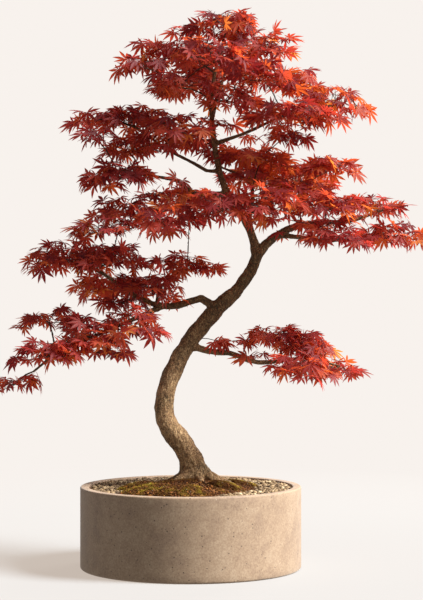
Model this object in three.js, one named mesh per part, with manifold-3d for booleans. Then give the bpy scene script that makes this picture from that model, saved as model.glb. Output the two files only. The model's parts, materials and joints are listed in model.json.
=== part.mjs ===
// A potted Japanese maple: one gnarled trunk with its branches, layered clouds of drooping leaves, and a low round
// cast-stone pot dressed with soil, gravel and moss.
// Millimetres, +Z up. The origin is the centre of the pot's flat underside, and the front of the tree faces -Y.
import * as THREE from "three";
import { mergeVertices } from "three/addons/utils/BufferGeometryUtils.js";
import Module from "manifold-3d";

const wasm = await Module();
wasm.setup();

// ---------------------------------------------------------------- driving sizes

const FIT_GAP = 0.4; // clearance left between pieces that touch

const POT_RADIUS = 180;
const POT_HEIGHT = 133;
const POT_WALL = 14;
const POT_FLOOR = 16;
const POT_RIM_ROUNDING = 3;
const POT_FOOT_ROUNDING = 4;
const POT_SEGMENTS = 64;

const DRAIN_RADIUS = 10;
const DRAIN_OFFSET = 75; // from the pot's axis to each drain hole
const DRAIN_SIDES = 16;
const DRAIN_MESH_SIDE = 34;
const DRAIN_MESH_THICKNESS = 1.2;

const GRAVEL_BELOW_RIM = 5.5;
const GRAVEL_DEPTH = 11;
const GRAVEL_BUMP = 1.2;
const MOUND_ABOVE_GRAVEL = 18.5; // the crown of the soil, at the trunk
const MOUND_CENTRE = { x: -4, y: -34 };
const MOUND_REACH = { along: 200, across: 165 };
const MOUND_TURN = 40; // degrees from X to the way the mound is longest

const TREE_HEIGHT = 769; // from the crown of the soil to the top leaves
const TREE_SPREAD = 690;
const TREE_DEPTH = 400;
const TRUNK_FOOT = { x: 8, y: 0 };
const FOLIAGE_SIZE = 1; // of each cloud of leaves against its drawn half-sizes

// ---------------------------------------------------------------- sizes worked out from them

// The lists of points below are drawn for a tree of this size, about the trunk's foot.
const DRAWN_TREE = { height: 769, spread: 690, depth: 400 };

const potInnerRadius = POT_RADIUS - POT_WALL;
// The bore is faceted, so what fills the pot fits inside its flats.
const fillRadius = potInnerRadius * Math.cos(Math.PI / POT_SEGMENTS) - FIT_GAP;
const gravelTop = POT_HEIGHT - GRAVEL_BELOW_RIM;
const soilEdge = gravelTop - GRAVEL_DEPTH;
const soilCrown = gravelTop + MOUND_ABOVE_GRAVEL;

const treeScale = {
  x: TREE_SPREAD / DRAWN_TREE.spread,
  y: TREE_DEPTH / DRAWN_TREE.depth,
  z: TREE_HEIGHT / DRAWN_TREE.height,
};

function treePoint([x, y, z]) {
  return new THREE.Vector3(
    TRUNK_FOOT.x + x * treeScale.x,
    TRUNK_FOOT.y + y * treeScale.y,
    soilCrown + z * treeScale.z,
  );
}

// ---------------------------------------------------------------- the wood, drawn as [x, y, z, radius]

const TRUNK = [
  [4, 4, -60, 20],
  [2, 2, -30, 28],
  [-1, 0, -8, 28],
  [-4, 0, 12, 23],
  [-8, 0, 32, 20],
  [-17, -1, 48, 18.5],
  [-30, -5, 65, 18.5],
  [-41, -8, 80, 17.5],
  [-49, -10, 98, 16.5],
  [-52, -9, 125, 15.5],
  [-45, -6, 152, 15],
  [-34, -2, 179, 15],
  [-19, 2, 210, 14],
  [5, 5, 241, 14],
  [28, 6, 268, 13.5],
  [42, 6, 283, 14],
  [62, 6, 300, 11],
  [78, 5, 319, 10],
  [92, 3, 341, 10],
  [102, 0, 366, 10],
];

const LIMBS = {
  leader: [
    [100, 1, 360, 10],
    [93, 2, 392, 8],
    [82, 4, 420, 7.5],
    [69, 6, 440, 7.5],
    [53, 8, 461, 7],
    [44, 8, 482, 6.5],
    [37, 8, 510, 6],
    [31, 6, 540, 5.5],
    [27, 3, 580, 5],
    [25, 0, 615, 4.5],
    [31, 0, 660, 3.5],
    [42, -2, 705, 2.5],
  ],
  right_limb: [
    [100, 0, 362, 10],
    [115, 1, 381, 8.5],
    [132, 2, 395, 7.5],
    [152, 4, 406, 6.5],
    [172, 6, 413, 6],
    [212, 6, 417, 5],
    [254, 7, 419, 4],
    [289, 8, 431, 3],
    [320, 10, 442, 2.2],
  ],
  right_lower_limb: [
    [132, 2, 395, 6],
    [152, -2, 394, 5],
    [175, -7, 391, 4.5],
    [196, -12, 386, 4],
    [230, -15, 387, 3.5],
    [264, -16, 386, 3],
    [310, -14, 396, 2.2],
  ],
  left_limb: [
    [44, 6, 284, 12],
    [27, 4, 282, 8.5],
    [17, 2, 290, 7.5],
    [4, 0, 293, 7],
    [-10, -4, 287, 6.5],
    [-32, -8, 280, 6.5],
    [-55, -11, 280, 6],
    [-90, -16, 292, 5],
    [-126, -16, 316, 4],
    [-164, -12, 340, 3.2],
    [-205, -6, 353, 2.2],
  ],
  inner_left_branch: [
    [-62, -11, 281, 5],
    [-62, -2, 300, 3.2],
    [-50, 12, 320, 2.9],
    [-28, 26, 335, 2.6],
    [0, 34, 342, 2.2],
  ],
  lowest_left_branch: [
    [-52, -11, 280, 5.5],
    [-76, -26, 270, 4.8],
    [-106, -46, 256, 4.2],
    [-142, -62, 240, 3.6],
    [-182, -70, 224, 3],
    [-222, -72, 204, 2.6],
    [-258, -58, 176, 2.2],
  ],
  lowest_right_branch: [
    [-14, 2, 214, 9],
    [6, 0, 211, 7],
    [24, -4, 206, 6],
    [44, -6, 204, 5.5],
    [60, -8, 203, 5.2],
    [74, -10, 197, 5],
    [90, -10, 190, 4.6],
    [112, -9, 188, 4.2],
    [140, -7, 191, 3.8],
    [172, -4, 195, 3.2],
    [208, -4, 189, 2.6],
    [238, -6, 181, 2.2],
  ],
  upper_left_branch: [
    [52, 8, 462, 6],
    [30, 6, 463, 4.6],
    [8, 2, 461, 4.3],
    [-8, 0, 467, 4.2],
    [-30, -6, 484, 3.8],
    [-56, -10, 489, 3.4],
    [-88, -14, 494, 3],
    [-114, -20, 488, 2.4],
  ],
  high_left_branch: [
    [38, 8, 500, 5],
    [28, 8, 496, 3.8],
    [12, 6, 505, 3.5],
    [-12, 4, 518, 3.2],
    [-50, 2, 537, 3],
    [-94, 2, 570, 2.6],
    [-140, 4, 585, 2.2],
  ],
  high_right_branch: [
    [31, 6, 545, 5],
    [54, 4, 553, 3.8],
    [78, 0, 561, 3.5],
    [102, -8, 571, 3.2],
    [138, -18, 587, 2.8],
    [186, -10, 600, 2.4],
    [225, 0, 608, 2.2],
  ],
  back_branch: [
    [84, 4, 416, 6],
    [92, 26, 446, 4.6],
    [94, 52, 474, 3.8],
    [78, 76, 496, 3],
    [40, 88, 514, 2.4],
  ],
  crown_back_branch: [
    [27, 3, 590, 5],
    [34, 28, 622, 3.6],
    [44, 56, 652, 2.8],
    [50, 80, 680, 2.2],
  ],
};

// Surface roots: the compass turn from +X, how far each runs, and its radius where it leaves the trunk.
const ROOTS = [
  { turn: 4, length: 92, radius: 12 },
  { turn: 62, length: 66, radius: 12 },
  { turn: 128, length: 74, radius: 13 },
  { turn: 186, length: 70, radius: 13 },
  { turn: 226, length: 68, radius: 14 },
  { turn: 284, length: 60, radius: 12 },
  { turn: 328, length: 74, radius: 13 },
];
const ROOT_LEAVES_TRUNK_AT = 20; // above the crown of the soil
const ROOT_TIP_RADIUS = 3;
const ROOT_TIP_DEPTH = 9;

const TRUNK_MESH = { sides: 11, rings: 26 };
const LIMB_MESH = { sides: 6, ringsPerPoint: 1.25 };
const TWIG_MESH = { sides: 4, rings: 3 };
const FIRST_TWIG_STATION = 9; // of the trunk, which is bare below it
const TWIG_TIP_RADIUS = 1.5;
const TWIG_THICKENING = 0.011; // added radius for each millimetre of twig
const TWIG_ARCH = 0.1; // rise of its middle, as a share of its length

// ---------------------------------------------------------------- the clouds of leaves, drawn by centre and half-size
// A tilt in degrees lowers the right-hand end, and a negative one the left-hand end.

const FOLIAGE = {
  crown_top: { at: [52, -4, 731], half: [52, 60, 28], tilt: 0 },
  crown_top_right: { at: [113, 20, 698], half: [52, 56, 32], tilt: 28 },
  crown_upper_left: { at: [-32, 14, 692], half: [56, 56, 26], tilt: -14 },
  crown_left_tip: { at: [-90, -24, 667], half: [33, 32, 13], tilt: -20 },
  crown_front: { at: [28, -104, 662], half: [60, 52, 36], tilt: 0 },
  crown_back: { at: [50, 118, 680], half: [72, 56, 38], tilt: 0 },
  crown_centre: { at: [56, 12, 612], half: [44, 54, 38], tilt: 0 },
  crown_lower_left: { at: [-26, -50, 630], half: [46, 50, 29], tilt: -12 },
  crown_left_back: { at: [-8, 112, 648], half: [46, 52, 26], tilt: -8 },
  crown_right: { at: [110, -66, 640], half: [54, 54, 36], tilt: 18 },
  crown_right_back: { at: [166, 74, 650], half: [48, 50, 25], tilt: 20 },
  crown_lower_right: { at: [146, -40, 578], half: [56, 56, 38], tilt: 16 },
  crown_right_tip: { at: [230, -2, 607], half: [58, 44, 23], tilt: 22 },
  crown_right_low_tip: { at: [184, -76, 583], half: [42, 36, 17], tilt: 14 },
  upper_left_tip: { at: [-170, 8, 580], half: [30, 32, 16], tilt: -12 },
  upper_left_low_tip: { at: [-158, -44, 549], half: [28, 30, 15], tilt: -20 },
  upper_left_outer: { at: [-103, 4, 578], half: [47, 54, 26], tilt: -8 },
  upper_left_inner: { at: [-35, -62, 553], half: [60, 56, 31], tilt: -4 },
  upper_left_under: { at: [-108, 24, 530], half: [46, 50, 24], tilt: 0 },
  mid_left_tip: { at: [-128, -40, 478], half: [56, 56, 31], tilt: -8 },
  back_left: { at: [-10, 120, 444], half: [54, 54, 30], tilt: 0 },
  mid_right_upper: { at: [105, 30, 515], half: [58, 56, 21], tilt: 12 },
  mid_right_back: { at: [95, 104, 488], half: [57, 54, 28], tilt: 4 },
  right_upper_outer: { at: [216, 8, 500], half: [43, 48, 26], tilt: 6 },
  right_upper_inner: { at: [168, 8, 464], half: [56, 54, 26], tilt: 4 },
  right_front: { at: [115, -78, 434], half: [59, 54, 33], tilt: 2 },
  right_mid: { at: [212, -46, 434], half: [50, 50, 24], tilt: 4 },
  right_back: { at: [180, 124, 490], half: [52, 50, 26], tilt: 8 },
  right_tip_upper: { at: [300, 28, 438], half: [48, 42, 20], tilt: 6 },
  right_tip_lower: { at: [316, -20, 387], half: [54, 42, 24], tilt: 6 },
  right_hanging: { at: [232, -72, 383], half: [46, 36, 18], tilt: 6 },
  mid_front: { at: [34, -96, 428], half: [42, 46, 32], tilt: 4 },
  mid_front_left: { at: [-45, -80, 404], half: [52, 50, 36], tilt: -2 },
  mid_left_inner: { at: [-115, -24, 428], half: [47, 52, 24], tilt: -8 },
  mid_left_far: { at: [-152, -66, 396], half: [46, 42, 22], tilt: -14 },
  low_left_upper_tip: { at: [-213, 0, 347], half: [66, 54, 36], tilt: -4 },
  low_left_upper: { at: [-138, -30, 346], half: [60, 62, 36], tilt: 2 },
  low_left_back: { at: [-150, 84, 304], half: [60, 56, 26], tilt: 0 },
  low_left_inner: { at: [-72, -12, 304], half: [54, 56, 32], tilt: 20 },
  inner_twig: { at: [-14, 34, 346], half: [52, 30, 13], tilt: 8 },
  lowest_left_inner: { at: [-96, -84, 237], half: [52, 52, 36], tilt: 6 },
  lowest_left_outer: { at: [-170, -70, 221], half: [58, 58, 39], tilt: -6 },
  lowest_left_up_tip: { at: [-238, -14, 252], half: [46, 42, 20], tilt: -10 },
  lowest_left_tip: { at: [-232, -96, 199], half: [59, 46, 29], tilt: -8 },
  lowest_left_end: { at: [-292, -50, 152], half: [36, 34, 20], tilt: -20 },
  low_right_upper: { at: [138, 14, 225], half: [48, 48, 24], tilt: 8 },
  low_right_outer: { at: [180, 12, 205], half: [51, 56, 30], tilt: 24 },
  low_right_front: { at: [170, -80, 173], half: [54, 46, 28], tilt: 14 },
  low_right_tip: { at: [224, -12, 176], half: [44, 37, 19], tilt: 26 },
};

const FOLIAGE_MESH = { sides: 12, bands: 6 };
const FOLIAGE_UNDERSIDE = 0.6; // depth of the underside against the top
const FOLIAGE_DROOP = 0.45; // how far the edge hangs, as a share of the half-height
const FOLIAGE_LIFT = 0.2; // rise of the cloud above its drawn centre, as a share of the half-height
const FOLIAGE_LOBES = { count: 5, size: 0.09 };
const FOLIAGE_TUFTS = { count: 9, size: 0.05 };

// ---------------------------------------------------------------- the moss, drawn by centre, half-size and rise

const MOSS = {
  moss_front_left: { at: [-72, -98], half: [46, 34], rise: 8 },
  moss_front: { at: [-14, -116], half: [44, 30], rise: 9 },
  moss_left: { at: [-92, -34], half: [34, 26], rise: 7 },
  moss_right: { at: [84, 26], half: [34, 24], rise: 7 },
  moss_front_right: { at: [56, -58], half: [26, 18], rise: 7 },
};
const MOSS_MESH = { sides: 11, bands: 5 };

// ---------------------------------------------------------------- solids and joining

// A closed geometry as a manifold solid: only positions are kept, and shared vertices are merged.
function solidOf(geometry) {
  const merged = mergeVertices(positionsOnly(geometry), 1e-4);
  return new wasm.Manifold(
    new wasm.Mesh({
      numProp: 3,
      vertProperties: merged.attributes.position.array,
      triVerts: new Uint32Array(merged.index.array),
    }),
  );
}

function positionsOnly(geometry) {
  const bare = geometry.clone();
  bare.deleteAttribute("normal");
  bare.deleteAttribute("uv");
  return bare;
}

function geometryOf(solid) {
  const { vertProperties, triVerts, numProp } = solid.getMesh();
  const buffer = new THREE.InterleavedBuffer(vertProperties, numProp);
  const geometry = new THREE.BufferGeometry();
  geometry.setAttribute("position", new THREE.InterleavedBufferAttribute(buffer, 3, 0));
  geometry.setIndex(new THREE.BufferAttribute(triVerts, 1));
  const plain = geometry.toNonIndexed();
  plain.computeVertexNormals();
  return plain;
}

function joined(solids) {
  return solids.reduce((whole, solid) => whole.add(solid));
}

// What is left of a solid beside its neighbours: the largest piece of it.
function cutClear(solid, neighbours) {
  const rest = neighbours.reduce((left, neighbour) => left.subtract(neighbour), solid);
  return rest.decompose().reduce((most, piece) => (piece.volume() > most.volume() ? piece : most));
}

// Moves every vertex of a geometry by a function of its position.
function reshaped(geometry, move) {
  const bare = mergeVertices(positionsOnly(geometry), 1e-4);
  const place = bare.attributes.position;
  const point = new THREE.Vector3();
  for (let i = 0; i < place.count; i++) {
    point.fromBufferAttribute(place, i);
    move(point);
    place.setXYZ(i, point.x, point.y, point.z);
  }
  return bare;
}

// ---------------------------------------------------------------- pot

// A quarter-round corner in a lathe profile, from one angle to the next in degrees.
function cornerPoints(x, z, radius, from, to, steps = 2) {
  const points = [];
  for (let i = 0; i <= steps; i++) {
    const angle = THREE.MathUtils.degToRad(from + ((to - from) * i) / steps);
    points.push(new THREE.Vector2(x + radius * Math.cos(angle), z + radius * Math.sin(angle)));
  }
  return points;
}

function lathe(profile, segments) {
  const turned = new THREE.LatheGeometry(profile, segments);
  turned.rotateX(Math.PI / 2);
  return turned;
}

function drainHole(side) {
  const tool = new THREE.CylinderGeometry(DRAIN_RADIUS, DRAIN_RADIUS, POT_FLOOR * 3, DRAIN_SIDES);
  tool.rotateX(Math.PI / 2);
  tool.translate(side * DRAIN_OFFSET, 0, 0);
  return solidOf(tool);
}

function potShell(growth = 0) {
  const outer = POT_RADIUS + growth;
  const inner = potInnerRadius - growth;
  const rim = POT_RIM_ROUNDING;
  const foot = POT_FOOT_ROUNDING;
  const profile = [
    new THREE.Vector2(0, -growth),
    ...cornerPoints(outer - foot, foot - growth, foot, -90, 0),
    ...cornerPoints(outer - rim, POT_HEIGHT - rim + growth, rim, 0, 90),
    ...cornerPoints(inner + rim, POT_HEIGHT - rim + growth, rim, 90, 180),
    ...cornerPoints(inner - rim, POT_FLOOR + rim + growth, rim, 0, -90),
    new THREE.Vector2(0, POT_FLOOR + growth),
  ];
  return solidOf(lathe(profile, POT_SEGMENTS));
}

function pot() {
  return [-1, 1].reduce((shell, side) => shell.subtract(drainHole(side)), potShell());
}

// A square of plastic mesh that lies over one drain hole and keeps the soil in.
function drainMesh(side, growth = 0) {
  const width = DRAIN_MESH_SIDE + 2 * growth;
  const thickness = DRAIN_MESH_THICKNESS + growth;
  const sheet = new THREE.BoxGeometry(width, width, thickness);
  sheet.translate(side * DRAIN_OFFSET, 0, POT_FLOOR + FIT_GAP + thickness / 2);
  return solidOf(sheet);
}

// ---------------------------------------------------------------- soil, gravel and moss

function soilHeight(x, y) {
  const fromCentre = new THREE.Vector2(x - MOUND_CENTRE.x, y - MOUND_CENTRE.y);
  fromCentre.rotateAround(new THREE.Vector2(), -THREE.MathUtils.degToRad(MOUND_TURN));
  const away = Math.hypot(fromCentre.x / MOUND_REACH.along, fromCentre.y / MOUND_REACH.across);
  const nearness = 1 - Math.min(1, away);
  return soilEdge + (soilCrown - soilEdge) * THREE.MathUtils.smoothstep(nearness, 0, 1);
}

// A slow, even unevenness of the ground, from -1 to 1.
function ripple(x, y, wavelength) {
  const turn = (2 * Math.PI) / wavelength;
  return Math.sin(x * turn + 1.3) * Math.cos(y * turn * 1.13 + 0.4);
}

const SOIL_RINGS = 6;
const SOIL_SEGMENTS = 32;
const GRAVEL_RINGS = 5;
const GRAVEL_INNER_RADIUS = 40;
const GRAVEL_WAVELENGTH = 34;

function soilBody(growth = 0) {
  const outer = fillRadius + growth;
  const floor = POT_FLOOR + FIT_GAP - growth;
  const corner = POT_RIM_ROUNDING;
  const profile = [new THREE.Vector2(0, floor), ...cornerPoints(outer - corner, floor + corner, corner, -90, 0)];
  for (let ring = SOIL_RINGS; ring >= 0; ring--) {
    profile.push(new THREE.Vector2((outer * ring) / SOIL_RINGS, soilEdge));
  }
  const ground = reshaped(lathe(profile, SOIL_SEGMENTS), (p) => {
    if (p.z > soilEdge - corner) p.z = soilHeight(p.x, p.y) + growth;
  });
  return solidOf(ground);
}

function gravelBody(growth = 0) {
  const bottom = soilEdge - growth;
  const top = gravelTop + growth;
  const profile = [new THREE.Vector2(GRAVEL_INNER_RADIUS, bottom), new THREE.Vector2(fillRadius, bottom)];
  for (let ring = 0; ring <= GRAVEL_RINGS; ring++) {
    const share = ring / GRAVEL_RINGS;
    profile.push(new THREE.Vector2(THREE.MathUtils.lerp(fillRadius, GRAVEL_INNER_RADIUS, share), top));
  }
  profile.push(profile[0].clone());
  const bed = reshaped(lathe(profile, POT_SEGMENTS), (p) => {
    if (p.z > gravelTop - GRAVEL_BUMP) p.z += GRAVEL_BUMP * ripple(p.x, p.y, GRAVEL_WAVELENGTH);
  });
  return solidOf(bed);
}

function mossCushion({ at, half, rise }, growth = 0) {
  const [x, y] = at;
  const [wide, deep] = half.map((size) => size + growth);
  const dome = new THREE.SphereGeometry(1, MOSS_MESH.sides, MOSS_MESH.bands).rotateX(Math.PI / 2);
  const cushion = reshaped(dome, (p) => {
    const edge = lobedEdge(p, x + y);
    p.set(x + p.x * wide * edge, y + p.y * deep * edge, p.z);
    p.z = soilHeight(p.x, p.y) + p.z * (rise + growth);
  });
  return solidOf(cushion);
}

// ---------------------------------------------------------------- trunk, branches and roots

// A tapered limb of round section: a closed cylinder whose rings follow a curve through [x, y, z, radius] stations.
function limbSolid(stations, sides, rings, growth) {
  const curve = new THREE.CatmullRomCurve3(
    stations.map(({ place }) => place),
    false,
    "centripetal",
  );
  const frames = curve.computeFrenetFrames(rings, false);
  const tube = new THREE.CylinderGeometry(1, 1, rings, sides, rings);
  const bent = reshaped(tube, (p) => {
    const ring = Math.round(p.y + rings / 2);
    const share = ring / rings;
    const centre = curve.getPointAt(share);
    const radius = radiusAt(stations, curve.getUtoTmapping(share)) + growth;
    const side = frames.binormals[ring].clone().multiplyScalar(p.x * radius);
    const front = frames.normals[ring].clone().multiplyScalar(p.z * radius);
    p.copy(centre).add(side).add(front);
  });
  return solidOf(bent);
}

function radiusAt(stations, share) {
  const along = share * (stations.length - 1);
  const before = Math.min(Math.floor(along), stations.length - 2);
  return THREE.MathUtils.lerp(stations[before].radius, stations[before + 1].radius, along - before);
}

function stationsOf(points) {
  return points.map(([x, y, z, radius]) => ({ place: treePoint([x, y, z]), radius }));
}

function trunkSolid(growth) {
  return limbSolid(stationsOf(TRUNK), TRUNK_MESH.sides, TRUNK_MESH.rings, growth);
}

function branchSolid(points, growth) {
  return limbSolid(stationsOf(points), LIMB_MESH.sides, Math.round(points.length * LIMB_MESH.ringsPerPoint), growth);
}

// A surface root leaves the trunk above the soil, runs along the ground and dives under it.
function rootSolid({ turn, length, radius }, growth) {
  const angle = THREE.MathUtils.degToRad(turn);
  const groundPoint = (share, lift) => {
    const x = TRUNK_FOOT.x + Math.cos(angle) * length * share;
    const y = TRUNK_FOOT.y + Math.sin(angle) * length * share;
    return new THREE.Vector3(x, y, soilHeight(x, y) + lift);
  };
  const stations = [
    { place: groundPoint(0.06, ROOT_LEAVES_TRUNK_AT), radius },
    { place: groundPoint(0.3, radius * 0.35), radius: radius * 0.8 },
    { place: groundPoint(0.62, -radius * 0.1), radius: radius * 0.5 },
    { place: groundPoint(1, -ROOT_TIP_DEPTH), radius: ROOT_TIP_RADIUS },
  ];
  return limbSolid(stations, LIMB_MESH.sides, stations.length * LIMB_MESH.ringsPerPoint, growth);
}

// Points along the trunk and limbs from which a twig may start, with the radius of the wood there.
function skeletonPoints() {
  return Object.values(LIMBS)
    .concat([TRUNK.slice(FIRST_TWIG_STATION)])
    .flatMap((points) => stationsOf(points));
}

// A twig runs from the wood nearest a cloud of leaves into its middle, and thicker wood below is preferred.
function twigStations(cloud, skeleton) {
  const target = treePoint(cloud.at);
  const cost = (station) => {
    const height = station.place.z - target.z;
    return station.place.distanceTo(target) + Math.max(0, height);
  };
  const start = skeleton.reduce((best, station) => (cost(station) < cost(best) ? station : best));
  const length = start.place.distanceTo(target);
  const middle = start.place.clone().lerp(target, 0.5);
  middle.z += length * TWIG_ARCH;
  const thick = Math.min(start.radius * 0.9, TWIG_TIP_RADIUS + length * TWIG_THICKENING);
  return [
    { place: start.place, radius: thick },
    { place: middle, radius: (thick + TWIG_TIP_RADIUS) / 2 },
    { place: target, radius: TWIG_TIP_RADIUS },
  ];
}

// Twigs are grown outward: clouds near the limbs first, so that later twigs can branch from earlier ones.
function allTwigs() {
  const skeleton = skeletonPoints();
  const reach = (cloud) => Math.min(...skeleton.map(({ place }) => place.distanceTo(treePoint(cloud.at))));
  const clouds = Object.values(FOLIAGE).map((cloud) => ({ cloud, far: reach(cloud) }));
  clouds.sort((a, b) => a.far - b.far);
  return clouds.map(({ cloud }) => {
    const stations = twigStations(cloud, skeleton);
    skeleton.push(...stations.slice(1));
    return stations;
  });
}

function wholeWood(growth = 0) {
  const limbs = Object.values(LIMBS).map((points) => branchSolid(points, growth));
  const roots = ROOTS.map((root) => rootSolid(root, growth));
  const twigs = allTwigs().map((twig) => limbSolid(twig, TWIG_MESH.sides, TWIG_MESH.rings, growth));
  return joined([trunkSolid(growth), ...limbs, ...roots, ...twigs]);
}

// ---------------------------------------------------------------- foliage

// The edge of a cushion or cloud, scalloped into broad lobes and smaller tufts.
function lobedEdge(p, phase) {
  const turn = Math.atan2(p.y, p.x);
  const lobes = FOLIAGE_LOBES.size * Math.cos(FOLIAGE_LOBES.count * turn + phase);
  const tufts = FOLIAGE_TUFTS.size * Math.cos(FOLIAGE_TUFTS.count * turn + 2 * phase);
  return 1 + lobes + tufts;
}

// A domed cloud of leaves with a flatter underside and an edge that hangs.
function cloudSolid({ at, half, tilt }, growth = 0) {
  const phase = at[0] * 0.37 + at[2] * 0.11;
  const centre = treePoint(at);
  const lean = THREE.MathUtils.degToRad(tilt);
  const up = new THREE.Vector3(0, 1, 0);
  const [wide, deep, high] = half.map((size) => size * FOLIAGE_SIZE + growth);
  const ball = new THREE.SphereGeometry(1, FOLIAGE_MESH.sides, FOLIAGE_MESH.bands).rotateX(Math.PI / 2);
  const cloud = reshaped(ball, (p) => {
    const outward = p.x * p.x + p.y * p.y;
    const edge = 1 + (lobedEdge(p, phase) - 1) * outward;
    const lift = p.z > 0 ? p.z * high : p.z * high * FOLIAGE_UNDERSIDE;
    p.set(p.x * wide * edge, p.y * deep * edge, lift - outward * high * FOLIAGE_DROOP + high * FOLIAGE_LIFT);
    p.applyAxisAngle(up, lean).add(centre);
  });
  return solidOf(cloud);
}

// ---------------------------------------------------------------- materials

const FINISHES = {
  cast_stone: { color: 0xb7a48f, roughness: 0.85 },
  plastic_mesh: { color: 0x2b2b2b, roughness: 0.6 },
  soil: { color: 0x4a3527, roughness: 1 },
  gravel: { color: 0xa89684, roughness: 0.9 },
  moss: { color: 0x7d8026, roughness: 1 },
  bark: { color: 0x8a6f57, roughness: 0.9 },
  leaves: { color: 0xa8321f, roughness: 0.6 },
};

function finish(name) {
  return new THREE.MeshStandardMaterial({ ...FINISHES[name], metalness: 0, name });
}

// ---------------------------------------------------------------- the whole object

const tree = new THREE.Group();

function place(name, solid, finishName) {
  const mesh = new THREE.Mesh(geometryOf(solid), finish(finishName));
  mesh.name = name;
  tree.add(mesh);
}

// Places one mesh for each entry of a table, each cut clear of its neighbours and of the entries before it.
function placeEach(prefix, table, solidFor, neighbours, finishName) {
  const taken = [...neighbours];
  for (const [name, sizes] of Object.entries(table)) {
    place(prefix + name, cutClear(solidFor(sizes), taken), finishName);
    taken.push(solidFor(sizes, FIT_GAP));
  }
}

const grownWood = wholeWood(FIT_GAP);
const grownSoil = soilBody(FIT_GAP);
const grownPot = potShell(FIT_GAP);
const grownMeshes = [-1, 1].map((side) => drainMesh(side, FIT_GAP));

place("pot", pot(), "cast_stone");
place("drainage_mesh_left", drainMesh(-1), "plastic_mesh");
place("drainage_mesh_right", drainMesh(1), "plastic_mesh");
place("soil", cutClear(soilBody(), [grownWood, ...grownMeshes]), "soil");

place("gravel_bed", cutClear(gravelBody(), [grownSoil, grownWood]), "gravel");
const grownGravel = gravelBody(FIT_GAP);

placeEach("", MOSS, mossCushion, [grownSoil, grownWood, grownPot, grownGravel], "moss");
place("trunk_and_branches", wholeWood(), "bark");
placeEach("foliage_", FOLIAGE, cloudSolid, [grownWood], "leaves");

export default tree;
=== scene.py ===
"""A potted Japanese maple: bark, fine twigs and lobed leaves over a cast-stone pot of soil, gravel and moss.

Everything is in metres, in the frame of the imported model: the origin is under the middle of the pot, and -Y
is the front.
"""

import json
import logging
import math
import random
from dataclasses import dataclass
from enum import Enum
from typing import Any, Callable, Sequence

import bmesh
import bpy
from mathutils import Matrix, Vector, noise
from mathutils.bvhtree import BVHTree
from mathutils.kdtree import KDTree

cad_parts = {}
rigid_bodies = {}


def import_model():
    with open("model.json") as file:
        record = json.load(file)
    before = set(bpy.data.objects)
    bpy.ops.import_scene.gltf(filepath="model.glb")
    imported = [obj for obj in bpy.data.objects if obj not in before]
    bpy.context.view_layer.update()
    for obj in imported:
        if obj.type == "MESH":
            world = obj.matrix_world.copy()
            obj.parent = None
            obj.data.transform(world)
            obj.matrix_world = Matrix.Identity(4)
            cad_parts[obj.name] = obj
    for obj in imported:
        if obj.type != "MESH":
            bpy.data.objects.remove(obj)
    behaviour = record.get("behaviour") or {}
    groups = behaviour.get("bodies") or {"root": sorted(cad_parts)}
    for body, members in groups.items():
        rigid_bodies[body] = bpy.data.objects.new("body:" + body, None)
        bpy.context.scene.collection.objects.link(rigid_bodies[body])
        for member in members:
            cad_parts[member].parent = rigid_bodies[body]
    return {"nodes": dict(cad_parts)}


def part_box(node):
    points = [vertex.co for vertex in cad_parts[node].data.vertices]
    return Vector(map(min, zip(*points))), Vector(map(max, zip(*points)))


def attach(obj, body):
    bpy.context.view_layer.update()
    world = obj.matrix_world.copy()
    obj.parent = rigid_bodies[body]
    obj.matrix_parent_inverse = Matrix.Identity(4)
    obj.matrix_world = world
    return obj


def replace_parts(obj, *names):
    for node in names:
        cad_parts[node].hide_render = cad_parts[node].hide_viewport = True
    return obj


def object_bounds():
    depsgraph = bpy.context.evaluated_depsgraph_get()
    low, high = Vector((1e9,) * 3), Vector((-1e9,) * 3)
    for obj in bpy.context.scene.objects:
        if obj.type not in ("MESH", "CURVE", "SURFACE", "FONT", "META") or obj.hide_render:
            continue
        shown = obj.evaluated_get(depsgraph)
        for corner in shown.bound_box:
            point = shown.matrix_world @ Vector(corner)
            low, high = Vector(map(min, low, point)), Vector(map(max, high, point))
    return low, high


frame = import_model()
CAD_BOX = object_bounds()

log = logging.getLogger("maple")

MM = 0.001
BODY = "root"
WELD = 2e-6  # corners closer than this are one corner
UP = Vector((0, 0, 1))
FLAT = Vector((1, 1, 0))  # a direction times this is level


# ---------------------------------------------------------------- colour and node helpers


def linear(hex_colour: str) -> tuple[float, float, float, float]:
    """Turn an sRGB hex colour into linear RGBA.

    Args:
        hex_colour: Six hex digits, such as "A08468".

    Returns:
        Red, green, blue and an alpha of 1, as the shaders take them.
    """
    channels = [int(hex_colour[i : i + 2], 16) / 255 for i in (0, 2, 4)]
    red, green, blue = (c / 12.92 if c <= 0.04045 else ((c + 0.055) / 1.055) ** 2.4 for c in channels)
    return red, green, blue, 1.0


def per_metre(size_mm: float) -> float:
    """Give the texture scale whose features are size_mm apart.

    Args:
        size_mm: The spacing of the features, in millimetres.

    Returns:
        The scale, in features for each metre.
    """
    return 1 / (size_mm * MM)


def add_node(
    material: bpy.types.Material, kind: str, inputs: dict | None = None, **settings: Any
) -> bpy.types.Node:
    """Add one shader node with its settings, values and links.

    Args:
        material: The material that gets the node.
        kind: The node's type, such as "ShaderNodeTexNoise".
        inputs: Socket name or number to a value, or to an output socket that is linked to it.
        **settings: Attributes of the node itself.

    Returns:
        The new node.
    """
    node = material.node_tree.nodes.new(kind)
    for name, value in settings.items():
        setattr(node, name, value)
    for key, value in (inputs or {}).items():
        if isinstance(value, bpy.types.NodeSocket):
            material.node_tree.links.new(value, node.inputs[key])
        else:
            node.inputs[key].default_value = value
    return node


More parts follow.
